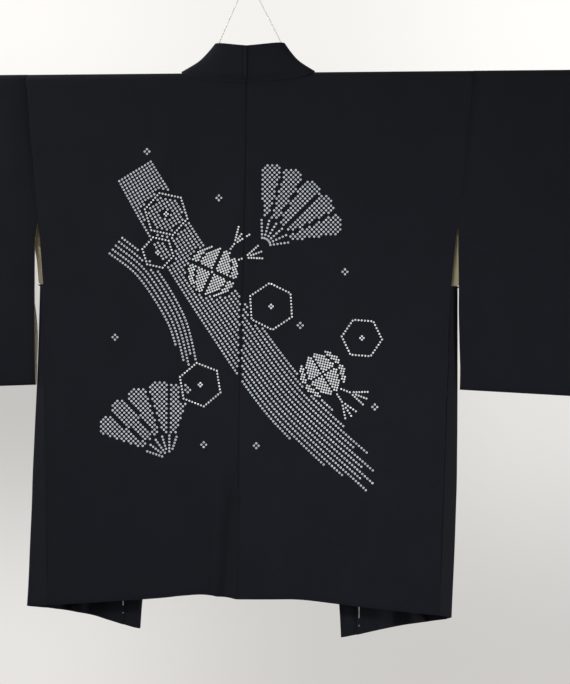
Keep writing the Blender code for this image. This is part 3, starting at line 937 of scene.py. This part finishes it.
@dataclass(frozen=True)
class Motif:
    """A motif around a point of the back."""

    x: float
    depth: float

    def at(self, reach: float, angle: float) -> Point2:
        """The place at a distance from the point, by an angle in radians from X towards greater depth."""
        return self.x + reach * math.cos(angle), self.depth + reach * math.sin(angle)


@dataclass(frozen=True)
class Ball(Motif):
    """A thread-wound ball: a filled round with bare lines where its threads cross."""

    radius: float
    turn: float
    bare: float = 1.7

    MERIDIANS = (-0.68, 0.0, 0.68)

    def dots(self, pitch: float) -> Iterable[Point2]:
        """Places of the dots."""
        turn = math.radians(self.turn)
        for u, v in lattice((-self.radius,) * 2, (self.radius,) * 2, pitch):
            if math.hypot(u, v) > self.radius or abs(v) < self.bare:
                continue
            width = math.sqrt(self.radius ** 2 - v ** 2)
            if all(abs(u - share * width) > self.bare for share in self.MERIDIANS):
                yield (self.x + u * math.cos(turn) - v * math.sin(turn),
                       self.depth + u * math.sin(turn) + v * math.cos(turn))


@dataclass(frozen=True)
class Tortoiseshell(Motif):
    """A six-sided plate, as an outline with four dots in its middle."""

    radius: float
    turn: float

    # the spacing of the outline's dots, in pitches
    LOOSE = 1.28

    def dots(self, pitch: float) -> Iterable[Point2]:
        """Places of the dots."""
        corners = [self.at(self.radius, math.radians(self.turn) + math.tau * corner / 6) for corner in range(7)]
        yield from spaced(corners, pitch * self.LOOSE)[:-1]
        yield from Sparks(((self.x, self.depth),)).dots(pitch)


@dataclass(frozen=True)
class Tassel(Motif):
    """A tassel: a short cord, then three threads that spread from it."""

    length: float
    turn: float

    SPREAD = (-22.0, 0.0, 22.0)
    CORD_SHARE = 0.34
    # the spacing of its dots, in pitches, and how many of those a thread's first dot is from the tie
    LOOSE = 1.2
    CLEAR = 1.35

    def dots(self, pitch: float) -> Iterable[Point2]:
        """Places of the dots."""
        way, pitch = math.radians(self.turn), pitch * self.LOOSE
        tie = self.at(self.length * self.CORD_SHARE, way)
        yield from spaced([(self.x, self.depth), tie], pitch)
        for lean in self.SPREAD:
            yield from spaced([Motif(*tie).at(reach, way + math.radians(lean))
                               for reach in (pitch * self.CLEAR, self.length * (1 - self.CORD_SHARE))], pitch)


@dataclass(frozen=True)
class Fan(Motif):
    """An open folding fan: a filled leaf with bare lines along its ribs, and sticks down to the rivet."""

    inner: float
    outer: float
    start: float
    sweep: float
    ribs: int = 5
    rib_gap: float = 2.1

    # how deep the leaf's edge is scalloped, and where the sticks begin, as shares of the outer and inner radius
    SCALLOP = 0.06
    RIVET = 0.28

    def dots(self, pitch: float) -> Iterable[Point2]:
        """Places of the dots of the leaf and then of the sticks."""
        low, high = (self.x - self.outer, self.depth - self.outer), (self.x + self.outer, self.depth + self.outer)
        section = self.sweep / self.ribs
        for x, depth in lattice(low, high, pitch):
            off = math.hypot(x - self.x, depth - self.depth)
            angle = (math.degrees(math.atan2(depth - self.depth, x - self.x)) - self.start) % 360
            if angle > self.sweep or off < self.inner:
                continue
            place = (angle % section) / section
            edge = self.outer * (1 - self.SCALLOP + self.SCALLOP * math.sin(math.pi * place))
            to_rib = math.radians(min(place, 1 - place) * section) * off
            if off < edge and to_rib > self.rib_gap:
                yield x, depth
        for rib in range(self.ribs + 1):
            angle = math.radians(self.start + self.sweep * rib / self.ribs)
            yield from spaced([self.at(reach, angle) for reach in (self.inner * self.RIVET, self.inner - pitch)], pitch)


@dataclass(frozen=True)
class Ribbons:
    """A bundle of ribbons, each a line of dots, that spreads from its tie and ends raggedly.

    Attributes:
        path: points of the bundle's middle line.
        gaps: the ribbons' spacing at the start and at the end.
        trims: the share of the path that each ribbon runs along.
    """

    path: tuple[Point2, ...]
    gaps: Point2
    trims: tuple[float, ...]

    SAMPLES = 60

    def curve(self) -> np.ndarray:
        """The bundle's middle line: a smooth curve through the path's points."""
        points = np.array((self.path[0], *self.path, self.path[-1]), float)
        rows = []
        for i in range(1, len(points) - 2):
            a, b, c, d = points[i - 1:i + 3]
            for t in np.linspace(0.0, 1.0, self.SAMPLES, endpoint=False):
                rows.append(0.5 * (2 * b + (c - a) * t + (2 * a - 5 * b + 4 * c - d) * t ** 2
                                   + (3 * b - a - 3 * c + d) * t ** 3))
        return np.array((*rows, points[-1]))

    def dots(self, pitch: float) -> Iterable[Point2]:
        """Places of the dots."""
        middle = self.curve()
        run = np.gradient(middle, axis=0)
        normal = np.stack((-run[:, 1], run[:, 0]), 1) / np.linalg.norm(run, axis=1)[:, None]
        gap = np.linspace(*self.gaps, len(middle))
        for strand, trim in enumerate(self.trims):
            off = strand - (len(self.trims) - 1) / 2
            line = middle + normal * (off * gap)[:, None]
            yield from spaced(line[:max(2, round(len(line) * trim))], pitch)


@dataclass(frozen=True)
class Sparks:
    """Small diamonds of four dots each."""

    places: tuple[Point2, ...]

    def dots(self, pitch: float) -> Iterable[Point2]:
        """Places of the dots."""
        reach = pitch * math.sqrt(0.5)
        for x, depth in self.places:
            yield from ((x + reach, depth), (x - reach, depth), (x, depth + reach), (x, depth - reach))


@dataclass(frozen=True)
class DotPrint:
    """Dots of one dye, raised from the back of the jacket in small rings.

    Attributes:
        name: the piece's name without its side.
        finish: the dye.
        pitch: the dots' spacing.
        radius: a dot's outer radius.
        height: how high its ring stands.
    """

    name: str
    finish: DyedFinish
    pitch: float
    radius: float
    height: float

    DYE = "dye"
    # points round a ring, and how far the rim is sunk into the cloth
    AROUND = 8
    SUNK = 0.12
    # a dot from its middle out: share of the radius, share of the height, how pale it is
    PROFILE = ((0.0, 0.3, 0.0), (0.3, 0.5, 0.1), (0.6, 1.0, 1.0), (0.84, 0.66, 1.0), (1.0, 0.0, 0.2))

    def template(self) -> tuple[np.ndarray, list[tuple[int, ...]], np.ndarray]:
        """Points, faces and dye of one dot that faces +Z, in millimetres."""
        points, dye = [(0.0, 0.0, self.PROFILE[0][1] * self.height)], [self.PROFILE[0][2]]
        for share, rise, pale in self.PROFILE[1:]:
            for step in range(self.AROUND):
                angle = math.tau * step / self.AROUND
                points.append((share * self.radius * math.cos(angle), share * self.radius * math.sin(angle),
                               rise * self.height - (self.SUNK if rise == 0.0 else 0.0)))
                dye.append(pale)
        faces = []
        for step in range(self.AROUND):
            ahead = (step + 1) % self.AROUND
            faces.append((0, 1 + step, 1 + ahead))
            for ring in range(len(self.PROFILE) - 2):
                low, high = 1 + ring * self.AROUND, 1 + (ring + 1) * self.AROUND
                faces.append((low + step, high + step, high + ahead, low + ahead))
        return np.array(points), faces, np.array(dye)

    def build(self, side: Side, spots: list[tuple[Vector, Vector]]) -> None:
        """Make the dots of one side as one mesh.

        Args:
            side: the side of the jacket that they lie on.
            spots: each dot's point on the cloth and the cloth's direction out there.
        """
        points, faces, dye = self.template()
        all_points, all_faces = [], []
        for index, (spot, out) in enumerate(spots):
            turn = np.array(out.to_track_quat("Z", "Y").to_matrix())
            all_points.append(points @ turn.T * MM + np.array(spot))
            all_faces += [tuple(i + index * len(points) for i in face) for face in faces]
        piece = smooth_mesh(f"{self.name}_{side.word}", np.concatenate(all_points).tolist(), all_faces,
                            (self.DYE, np.tile(dye, len(spots))))
        seat(piece, bpy.data.materials.get(self.finish.name) or self.finish.material(), Slot.CREPE)


@dataclass
class BackDesign:
    """The bound-dyed design on the back: folding fans, wound balls, tortoiseshell plates and ribbons.

    Attributes:
        garment: the garment's place.
        drape: the creases of the jacket.
        white: the small white dots.
        grey: the larger blue-grey dots.
        seam_clear: how far the dots stay clear of the centre-back seam.
        taken: the dots that are laid, by the square of the back that they lie in.
    """

    garment: Garment
    drape: Drape
    white: DotPrint = DotPrint("white_dots", DyedFinish("white_dye", (0.97, 0.98, 0.99), uneven=0.08), 3.7, 1.45, 0.55)
    grey: DotPrint = DotPrint("grey_dots", DyedFinish("grey_dye", (0.74, 0.76, 0.83)), 5.0, 1.7, 0.6)
    seam_clear: float = 1.9
    taken: dict[tuple[int, int], list[tuple[float, float, DotPrint]]] = field(default_factory=dict)

    CELL = 8.0
    # the least distance between two dots as a share of their radii together: of one dye, and of two
    CLOSE = 1.04
    APART = 1.5
    # the motifs in the order that they are laid: what comes first lies on top
    WHITE_MOTIFS = (
        Ball(-48, 300, 38, 24), Ball(118, 452, 34, -32),
        Tortoiseshell(-120, 214, 33, 12), Tortoiseshell(-132, 272, 24, 12),
        Tortoiseshell(40, 352, 35, 26), Tortoiseshell(176, 398, 30, 4),
        Tortoiseshell(-66, 470, 33, 20),
        Tassel(-24, 270, 40, -54), Tassel(-13, 284, 40, -20),
        Tassel(146, 474, 40, 20), Tassel(140, 482, 38, 56),
    )
    GREY_MOTIFS = (
        Fan(26, 262, 44, 124, -92, 84), Fan(-112, 582, 40, 118, -162, 90),
        Ribbons(((-168, 150), (-96, 268), (-24, 372), (70, 496), (196, 610)), (5.1, 7.2),
                (0.82, 0.86, 0.93, 0.9, 0.97, 0.94, 1, 0.96, 1, 0.92, 0.88, 0.8)),
        Ribbons(((-196, 262), (-150, 300), (-104, 372), (-84, 440)), (7.6, 6),
                (1, 0.9, 1, 0.94, 0.82)),
        Sparks(((-150, 120), (-40, 190), (150, 300), (-196, 400), (20, 560), (196, 500),
                (-60, 560), (84, 380))),
    )

    def claim(self, x: float, depth: float, dots: DotPrint) -> bool:
        """Take a place for a dot, unless another is too near."""
        column, row = round(x / self.CELL), round(depth / self.CELL)
        for i in (column - 1, column, column + 1):
            for j in (row - 1, row, row + 1):
                for other_x, other_depth, other in self.taken.get((i, j), ()):
                    room = self.CLOSE if other is dots else self.APART
                    if math.hypot(x - other_x, depth - other_depth) < (dots.radius + other.radius) * room:
                        return False
        self.taken.setdefault((column, row), []).append((x, depth, dots))
        return True

    def build(self, cloth: dict[str, Object]) -> None:
        """Lay the dots on the two body lengths.

        Args:
            cloth: the pieces of cloth by their nodes' names.
        """
        walls = dict(zip(Side, walls_of(cloth[f"body_{side.word}"] for side in Side)))
        spots = {(dots, side): [] for dots in (self.grey, self.white) for side in Side}
        for dots, motifs in ((self.white, self.WHITE_MOTIFS), (self.grey, self.GREY_MOTIFS)):
            for x, depth in (place for motif in motifs for place in motif.dots(dots.pitch)):
                from_seam = x - float(self.drape.middle(depth))
                if abs(from_seam) < self.seam_clear or not self.claim(x, depth, dots):
                    continue
                side = Side.LEFT if from_seam < 0 else Side.RIGHT
                spot, out, *_ = walls[side].ray_cast(self.garment.point(x, BEHIND, depth), FORWARDS)
                spots[dots, side].append((spot, out))
        for (dots, side), places in spots.items():
            dots.build(side, places)


# ---------------------------------------------------------------- thread, string and rod

def thread(garment: Garment, name: str, lines: Iterable[list[Vector]], radius: float,
           closed: bool = False) -> Object:
    """Make round thread along lines of points.

    Args:
        garment: the garment's place.
        name: the piece's name.
        lines: each length's points, in garment millimetres with Z up.
        radius: the thread's radius in millimetres.
        closed: whether each length runs back into its start.

    Returns:
        The curve.
    """
    curve = bpy.data.curves.new(name, "CURVE")
    curve.dimensions = "3D"
    curve.bevel_depth = radius * MM
    curve.bevel_resolution = THREAD_ROUND
    curve.use_fill_caps = not closed
    for points in lines:
        path = curve.splines.new("POLY")
        path.points.add(len(points) - 1)
        for point, place in zip(path.points, points):
            point.co = (*(garment.origin + place * MM), 1.0)
        path.use_cyclic_u = closed
    return put(name, curve)


@dataclass(frozen=True)
class Basting:
    """White thread left inside the fronts beside the collar: long and short stitches in turn, up from the hem.

    Attributes:
        garment: the garment's place.
        starts: each side's distance outwards and depth at the lower end of its first long stitch.
        pattern: length of each stitch, short then long, and the gap above it.
        repeats: how often the pattern is sewn.
        radius: the thread's radius.
        step: spacing of the points along a stitch.
        sunk: how far a stitch's ends go into the cloth.
        bedded: how far the thread's middle stands off the cloth, as a share of its radius.
    """

    garment: Garment
    starts: tuple[tuple[Side, float, float], ...] = ((Side.LEFT, 187.5, 810.6), (Side.RIGHT, 173.5, 820.5))
    pattern: tuple[Point2, ...] = ((3.0, 9.0), (20.0, 6.0))
    repeats: int = 5
    radius: float = 0.34
    step: float = 2.0
    sunk: float = 0.8
    bedded: float = 0.7

    def build(self, cloth: dict[str, Object], material: Material) -> None:
        """Sew the thread.

        Args:
            cloth: the pieces of cloth by their nodes' names.
            material: the thread's material.
        """
        for side, out, depth in self.starts:
            walls = walls_of(cloth[f"{node}_{side.word}"] for node in ("body", "body_lining", "collar"))
            depth += sum(self.pattern[0])
            stitches = []
            for length, gap in self.pattern * self.repeats:
                stitches.append(self.stitch(walls, side.value * out, depth, length))
                depth -= length + gap
            seat(thread(self.garment, f"basting_{side.word}", stitches, self.radius), material, Slot.STRING)

    def stitch(self, walls: list[BVHTree], x: float, depth: float, length: float) -> list[Vector]:
        """One stitch's points, up from a depth on the inside of the front, with both ends sunk into the cloth."""
        count = max(3, round(length / self.step) + 1)
        points = []
        for place in np.linspace(depth, depth - length, count):
            near = first_met(walls, self.garment.point(x, 0.0, place)) / MM
            points.append(Vector((x, near - self.radius * self.bedded, -place)))
        points[0].y += self.sunk
        points[-1].y += self.sunk
        return points


@dataclass(frozen=True)
class NeckTuck:
    """The tuck in the middle of the collar: a narrow lap of cloth over the join of its two halves."""

    garment: Garment
    top: float = -37.9
    bottom: float = 15.0
    rows: int = 48

    # distance across, how far it stands out, and how deep in the fold's painted shadow it lies
    PROFILE = ((-9.0, -0.3, 0.0), (-8.3, 0.25, 0.0), (-6.8, 0.3, 0.5), (-6.0, 0.1, 1.0), (-4.9, 0.15, 1.0),
               (-4.1, 0.9, 0.4), (-3.2, 1.2, 0.0), (0.3, 1.4, 0.0), (1.1, 1.2, 0.8), (1.7, 0.4, 1.0), (1.9, -0.5, 1.0))
    # lengths over which it rises from the cloth at its top and at its bottom
    ENDS = (1.6, 5.0)

    def build(self, cloth: dict[str, Object], material: Material) -> None:
        """Lay the tuck on the collar.

        Args:
            cloth: the pieces of cloth by their nodes' names.
            material: the collar's material.
        """
        halves = walls_of(cloth[f"collar_{side.word}"] for side in Side)
        lowest = self.PROFILE[0][1]
        points, shadow = [], []
        for depth in np.linspace(self.top, self.bottom, self.rows):
            stands = float(even_step(depth, self.top, self.top + self.ENDS[0])
                           * (1 - even_step(depth, self.bottom - self.ENDS[1], self.bottom)))
            for x, rise, dark in self.PROFILE:
                start = self.garment.point(x, BEHIND, depth)
                lift = lowest + (rise - lowest) * stands
                points.append((start.x, first_met(halves, start) - lift * MM, start.z))
                shadow.append(dark)
        wide = len(self.PROFILE)
        faces = [(row * wide + column, (row + 1) * wide + column, (row + 1) * wide + column + 1,
                  row * wide + column + 1) for row in range(self.rows - 1) for column in range(wide - 1)]
        # the tuck's mark of painted shadow darkens the crepe's colour along the fold's edges
        seat(smooth_mesh("collar_tuck", points, faces, (Seam.PRESS, shadow)), material, Slot.CREPE)


@dataclass(frozen=True)
class HangString:
    """The taut string: up from a knot under the rod, over the loop's top and down to the other knot.

    Attributes:
        garment: the garment's place.
        feet: where each half crosses the rod's axis along X.
        axis_depth: the rod's axis.
        corner: X and depth of the point where both halves would meet, above the loop's round top.
        loop_radius: radius of that round top.
        radius: the string's radius.
        below_axis: how far under the rod's axis the knots' middles are.
        knot_radius: the knots' radius.
        foot_gap: the gap between the string's end and its knot.
        lobe: half the size of the knot's lobes.
    """

    garment: Garment
    feet: tuple[tuple[Side, float], ...] = ((Side.LEFT, -68.9), (Side.RIGHT, 79.6))
    axis_depth: float = 12.5
    corner: Point2 = (-1.0, -143.1)
    loop_radius: float = 6.0
    radius: float = 0.9
    below_axis: float = 11.7
    knot_radius: float = 2.4
    foot_gap: float = 0.3
    lobe: float = 0.5

    # numbers of steps along each half, over the top and round a knot
    RUN_STEPS = 24
    TOP_STEPS = 6
    KNOT_STEPS = 40
    # a knot's thread is pulled thinner than the string, by this share
    PULLED = 0.8

    def line(self, foot: float) -> tuple[Vector, Vector]:
        """Where one half crosses the rod's axis, and its way down."""
        crossing = Vector((foot, 0, -self.axis_depth))
        return crossing, (crossing - Vector((self.corner[0], 0, -self.corner[1]))).normalized()

    def knot_centre(self, foot: float) -> Vector:
        """The middle of the knot on one half."""
        crossing, down = self.line(foot)
        return crossing + down * (self.below_axis / -down.z)

    def route(self) -> list[Vector]:
        """The centre line's points, in garment millimetres with Z up."""
        corner = Vector((self.corner[0], 0, -self.corner[1]))
        ways = [self.line(foot)[1] for _, foot in self.feet]
        ends = [self.knot_centre(foot) - down * (self.knot_radius + self.foot_gap)
                for (_, foot), down in zip(self.feet, ways)]
        half = ways[0].angle(ways[1]) / 2
        middle = corner + (ways[0] + ways[1]).normalized() * (self.loop_radius / math.sin(half))
        touch = [corner + way * (self.loop_radius / math.tan(half)) for way in ways]
        start, end = (math.atan2(t.z - middle.z, t.x - middle.x) for t in touch)
        left = [ends[0].lerp(touch[0], step / self.RUN_STEPS) for step in range(self.RUN_STEPS)]
        angles = (start + (end - start) * step / self.TOP_STEPS for step in range(self.TOP_STEPS + 1))
        top = [middle + Vector((math.cos(angle), 0, math.sin(angle))) * self.loop_radius for angle in angles]
        right = [touch[1].lerp(ends[1], step / self.RUN_STEPS) for step in range(1, self.RUN_STEPS + 1)]
        return [*left, *top, *right]

    def knot(self, side: Side, foot: float) -> Object:
        """A pulled-tight knot, as a closed three-lobed turn of the string."""
        centre, points = self.knot_centre(foot), []
        for step in range(self.KNOT_STEPS):
            t = math.tau * step / self.KNOT_STEPS
            turn = Vector((math.sin(t) + 2 * math.sin(2 * t), math.cos(t) - 2 * math.cos(2 * t), -math.sin(3 * t)))
            points.append(centre + turn * self.lobe)
        return thread(self.garment, f"cotton_knot_{side.word}", [points], self.radius * self.PULLED, closed=True)

    def build(self, material: Material) -> None:
        route = self.route()
        string = thread(self.garment, "cotton_string", [route], self.radius)
        seat(string, material, Slot.STRING, "hang_string")
        knots = [seat(self.knot(side, foot), material, Slot.STRING, f"string_knot_{side.word}")
                 for side, foot in self.feet]
        length = sum((b - a).length for a, b in zip(route, route[1:])) * MM


@dataclass(frozen=True)
class Rod:
    """The round wooden rod inside the sleeves, with softened ends and a slanting hole for each half of the string."""

    garment: Garment
    string: HangString
    radius: float = 9.0
    half_length: float = 640.0
    end_round: float = 2.0
    hole_radius: float = 1.5
    sides: int = 64
    hole_sides: int = 16

    EDGE_STEPS = 3
    EDGE_ANGLE = math.radians(60)
    SMOOTH_ANGLE = math.radians(40)
    # length of the drill that cuts the holes, in radii of the rod
    BIT_LENGTH = 5

    def build(self, material: Material) -> None:
        """Make the rod."""
        deselect_all()
        bpy.ops.mesh.primitive_cylinder_add(vertices=self.sides, radius=self.radius * MM,
                                            depth=2 * self.half_length * MM, rotation=(0, math.pi / 2, 0),
                                            location=self.garment.point(0, 0, self.string.axis_depth))
        rod = bpy.context.object
        rod.name = "wooden_rod"
        place_transforms(rod)
        apply_modifier(rod, "BEVEL", width=self.end_round * MM, segments=self.EDGE_STEPS, limit_method="ANGLE",
                       angle_limit=self.EDGE_ANGLE)
        for _, foot in self.string.feet:
            self.drill(rod, foot)
        pick(rod)
        bpy.ops.object.shade_smooth_by_angle(angle=self.SMOOTH_ANGLE)
        seat(rod, material, Slot.WOOD, "rod")

    def drill(self, rod: Object, foot: float) -> None:
        """Cut the slanting hole of one half of the string."""
        crossing, down = self.string.line(foot)
        deselect_all()
        bpy.ops.mesh.primitive_cylinder_add(vertices=self.hole_sides, radius=self.hole_radius * MM,
                                            depth=self.BIT_LENGTH * self.radius * MM,
                                            location=self.garment.origin + crossing * MM)
        bit = bpy.context.object
        bit.rotation_euler = down.to_track_quat("Z", "Y").to_euler()
        place_transforms(bit)
        apply_modifier(rod, "BOOLEAN", operation="DIFFERENCE", solver="EXACT", object=bit)
        bpy.data.objects.remove(bit)


# ---------------------------------------------------------------- room

@dataclass(frozen=True)
class SoftLight:
    """A rectangular lamp that looks at a point of the garment; its place and aim are in metres of the frame."""

    name: str
    place: tuple[float, float, float]
    aim: tuple[float, float, float]
    size: Point2
    power: float
    spread: float = 180.0

    def build(self) -> None:
        """Hang the lamp."""
        lamp = bpy.data.lights.new(self.name, "AREA")
        lamp.shape = "RECTANGLE"
        lamp.size, lamp.size_y = self.size
        lamp.energy = self.power
        lamp.spread = math.radians(self.spread)
        item = put(self.name, lamp)
        item.location = self.place
        item.rotation_euler = (Vector(self.aim) - Vector(self.place)).to_track_quat("-Z", "Y").to_euler()


@dataclass(frozen=True)
class Run:
    """A run of greys along one axis of the direction that is looked in: its reach, and place and grey of each stop."""

    axis: str
    reach: Point2
    stops: tuple[Point2, ...]

    def build(self, nodes: Nodes, parts: Node) -> NodeSocket:
        """Add the run over the parts of the direction, and return the socket of its colour."""
        node = nodes.add("ValToRGB", {"Fac": nodes.ramp(parts.outputs[self.axis], *self.reach)})
        ramp = node.color_ramp
        ramp.interpolation = "EASE"
        while len(ramp.elements) < len(self.stops):
            ramp.elements.new(0.5)
        for element, (place, grey) in zip(ramp.elements, self.stops):
            element.position = place
            element.color = (grey, grey, grey, 1.0)
        return node.outputs["Color"]


@dataclass(frozen=True)
class PaleRoom:
    """Pale walls all round: brightest high up behind the jacket, and dim above, below and towards the viewer.

    Attributes:
        left: the wall's greys from low to high on the left.
        right: the same on the right.
        across: how the left gives way to the right.
        shades: runs that darken the walls.
        tint: the walls' colour.
    """

    left: Run = Run("Z", (-0.2, 0.2), ((0.0, 0.8), (0.42, 0.56), (1.0, 1.0)))
    right: Run = Run("Z", (-0.2, 0.2), ((0.0, 0.62), (0.45, 0.79), (1.0, 1.02)))
    across: Run = Run("X", (-0.26, 0.06), ((0.0, 0.0), (1.0, 1.0)))
    shades: tuple[Run, ...] = (
        Run("X", (-0.28, 0.08), ((0.0, 1.0), (0.5, 0.9), (1.0, 1.0))),
        Run("Y", (-0.3, 0.6), ((0.0, 0.48), (1.0, 1.0))),
        Run("Z", (-0.5, 0.5), ((0.0, 0.35), (0.1, 0.35), (0.24, 1.0), (0.74, 1.0), (0.94, 0.4), (1.0, 0.4))),
    )
    tint: Colour = (1.0, 0.98, 0.951)

    def build(self) -> None:
        """Paint the world."""
        world = bpy.data.worlds.new("pale_room")
        bpy.context.scene.world = world
        world.use_nodes = True
        nodes = Nodes(world.node_tree)
        parts = nodes.add("SeparateXYZ", {"Vector": nodes.add("TexCoord").outputs["Generated"]})
        walls = nodes.blend(*(run.build(nodes, parts) for run in (self.across, self.left, self.right)))
        for shade in (*(run.build(nodes, parts) for run in self.shades), self.tint):
            walls = nodes.blend(1.0, walls, shade, "MULTIPLY")
        nodes.feed(nodes.tree.nodes["Background"].inputs["Color"], walls)


@dataclass(frozen=True)
class Studio:
    """Camera, lamps, pale room and floor.

    The camera's place is X, Y and depth, and its turns are in degrees. The floor's radius is in metres.
    """

    garment: Garment
    camera_place: tuple[float, float, float] = (292.4, -2288.2, 404.9)
    yaw: float = 5.8
    roll: float = 0.5
    lens: float = 80.7
    sensor: float = 36.0
    room: PaleRoom = PaleRoom()
    floor_below: float = 1700.0
    floor_radius: float = 3.2
    floor_sides: int = 96
    floor_paint: PlainFinish = PlainFinish("floor_paint", 0.35)
    lamps: tuple[SoftLight, ...] = (
        SoftLight("window", (-2.3, -2.1, 0.25), (0.0, 0.0, -0.5), (1.8, 2.2), 60.0),
        SoftLight("fill", (2.2, -2.0, -0.8), (0.0, 0.0, -0.6), (1.6, 1.6), 8.0),
        SoftLight("low_glow", (0.1, -2.6, 0.6), (0.2, 0.0, -0.85), (0.6, 0.4), 2.3, spread=40.0),
        SoftLight("left_glow", (-1.2, -1.6, 0.6), (-0.72, 0.0, -0.15), (0.5, 0.5), 0.5, spread=40.0),
        SoftLight("left_rim", (-1.4, -0.1, 1.0), (-0.45, 0.0, -0.15), (0.8, 0.8), 3.0, spread=60.0),
        SoftLight("right_side", (2.4, -0.8, -1.2), (0.4, 0.0, -0.8), (0.8, 0.8), 5.0, spread=70.0),
    )

    def build(self) -> None:
        """Set everything up."""
        self.add_camera()
        self.room.build()
        self.add_floor()
        for lamp in self.lamps:
            lamp.build()

    def add_camera(self) -> None:
        """Stand the camera level behind the jacket's back, a little to its right."""
        data = bpy.data.cameras.new("camera")
        data.lens = self.lens
        data.sensor_width = self.sensor
        camera = put("camera", data)
        camera.location = self.garment.point(*self.camera_place)
        yaw, roll = math.radians(self.yaw), math.radians(self.roll)
        forward = Vector((-math.sin(yaw), math.cos(yaw), 0.0))
        right = Vector((math.cos(yaw), math.sin(yaw), 0.0)) * math.cos(roll) + Vector((0, 0, math.sin(roll)))
        camera.rotation_euler = Matrix((right, right.cross(forward), -forward)).transposed().to_euler()
        bpy.context.scene.camera = camera

    def add_floor(self) -> None:
        """A pale round floor well below the hem."""
        deselect_all()
        bpy.ops.mesh.primitive_circle_add(vertices=self.floor_sides, radius=self.floor_radius, fill_type="NGON",
                                          location=self.garment.point(0, 0, self.floor_below))
        floor = bpy.context.object
        floor.name = "floor"
        place_transforms(floor)
        floor.data.materials.append(self.floor_paint.material())


def main() -> None:
    """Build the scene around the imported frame."""
    logging.basicConfig(level=logging.INFO, format="%(name)s %(message)s")
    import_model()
    bpy.context.scene.view_settings.view_transform = "Standard"
    garment = Garment.from_frame()
    Studio(garment).build()
    string = HangString(garment)
    string_material = StringFinish().material()
    string.build(string_material)
    Rod(garment, string).build(WoodFinish().material())
    drape = Drape(garment, BACK_CREASES, FRONT_CREASES, SEAMS)
    finishes = {Slot.CREPE: CrepeFinish().material(), Slot.LINING: LiningFinish().material()}
    cloth = Jacket().build(drape, finishes)
    NeckTuck(garment).build(cloth, finishes[Slot.CREPE])
    Basting(garment).build(cloth, string_material)
    BackDesign(garment, drape).build(cloth)


if __name__ == "__main__":
    main()
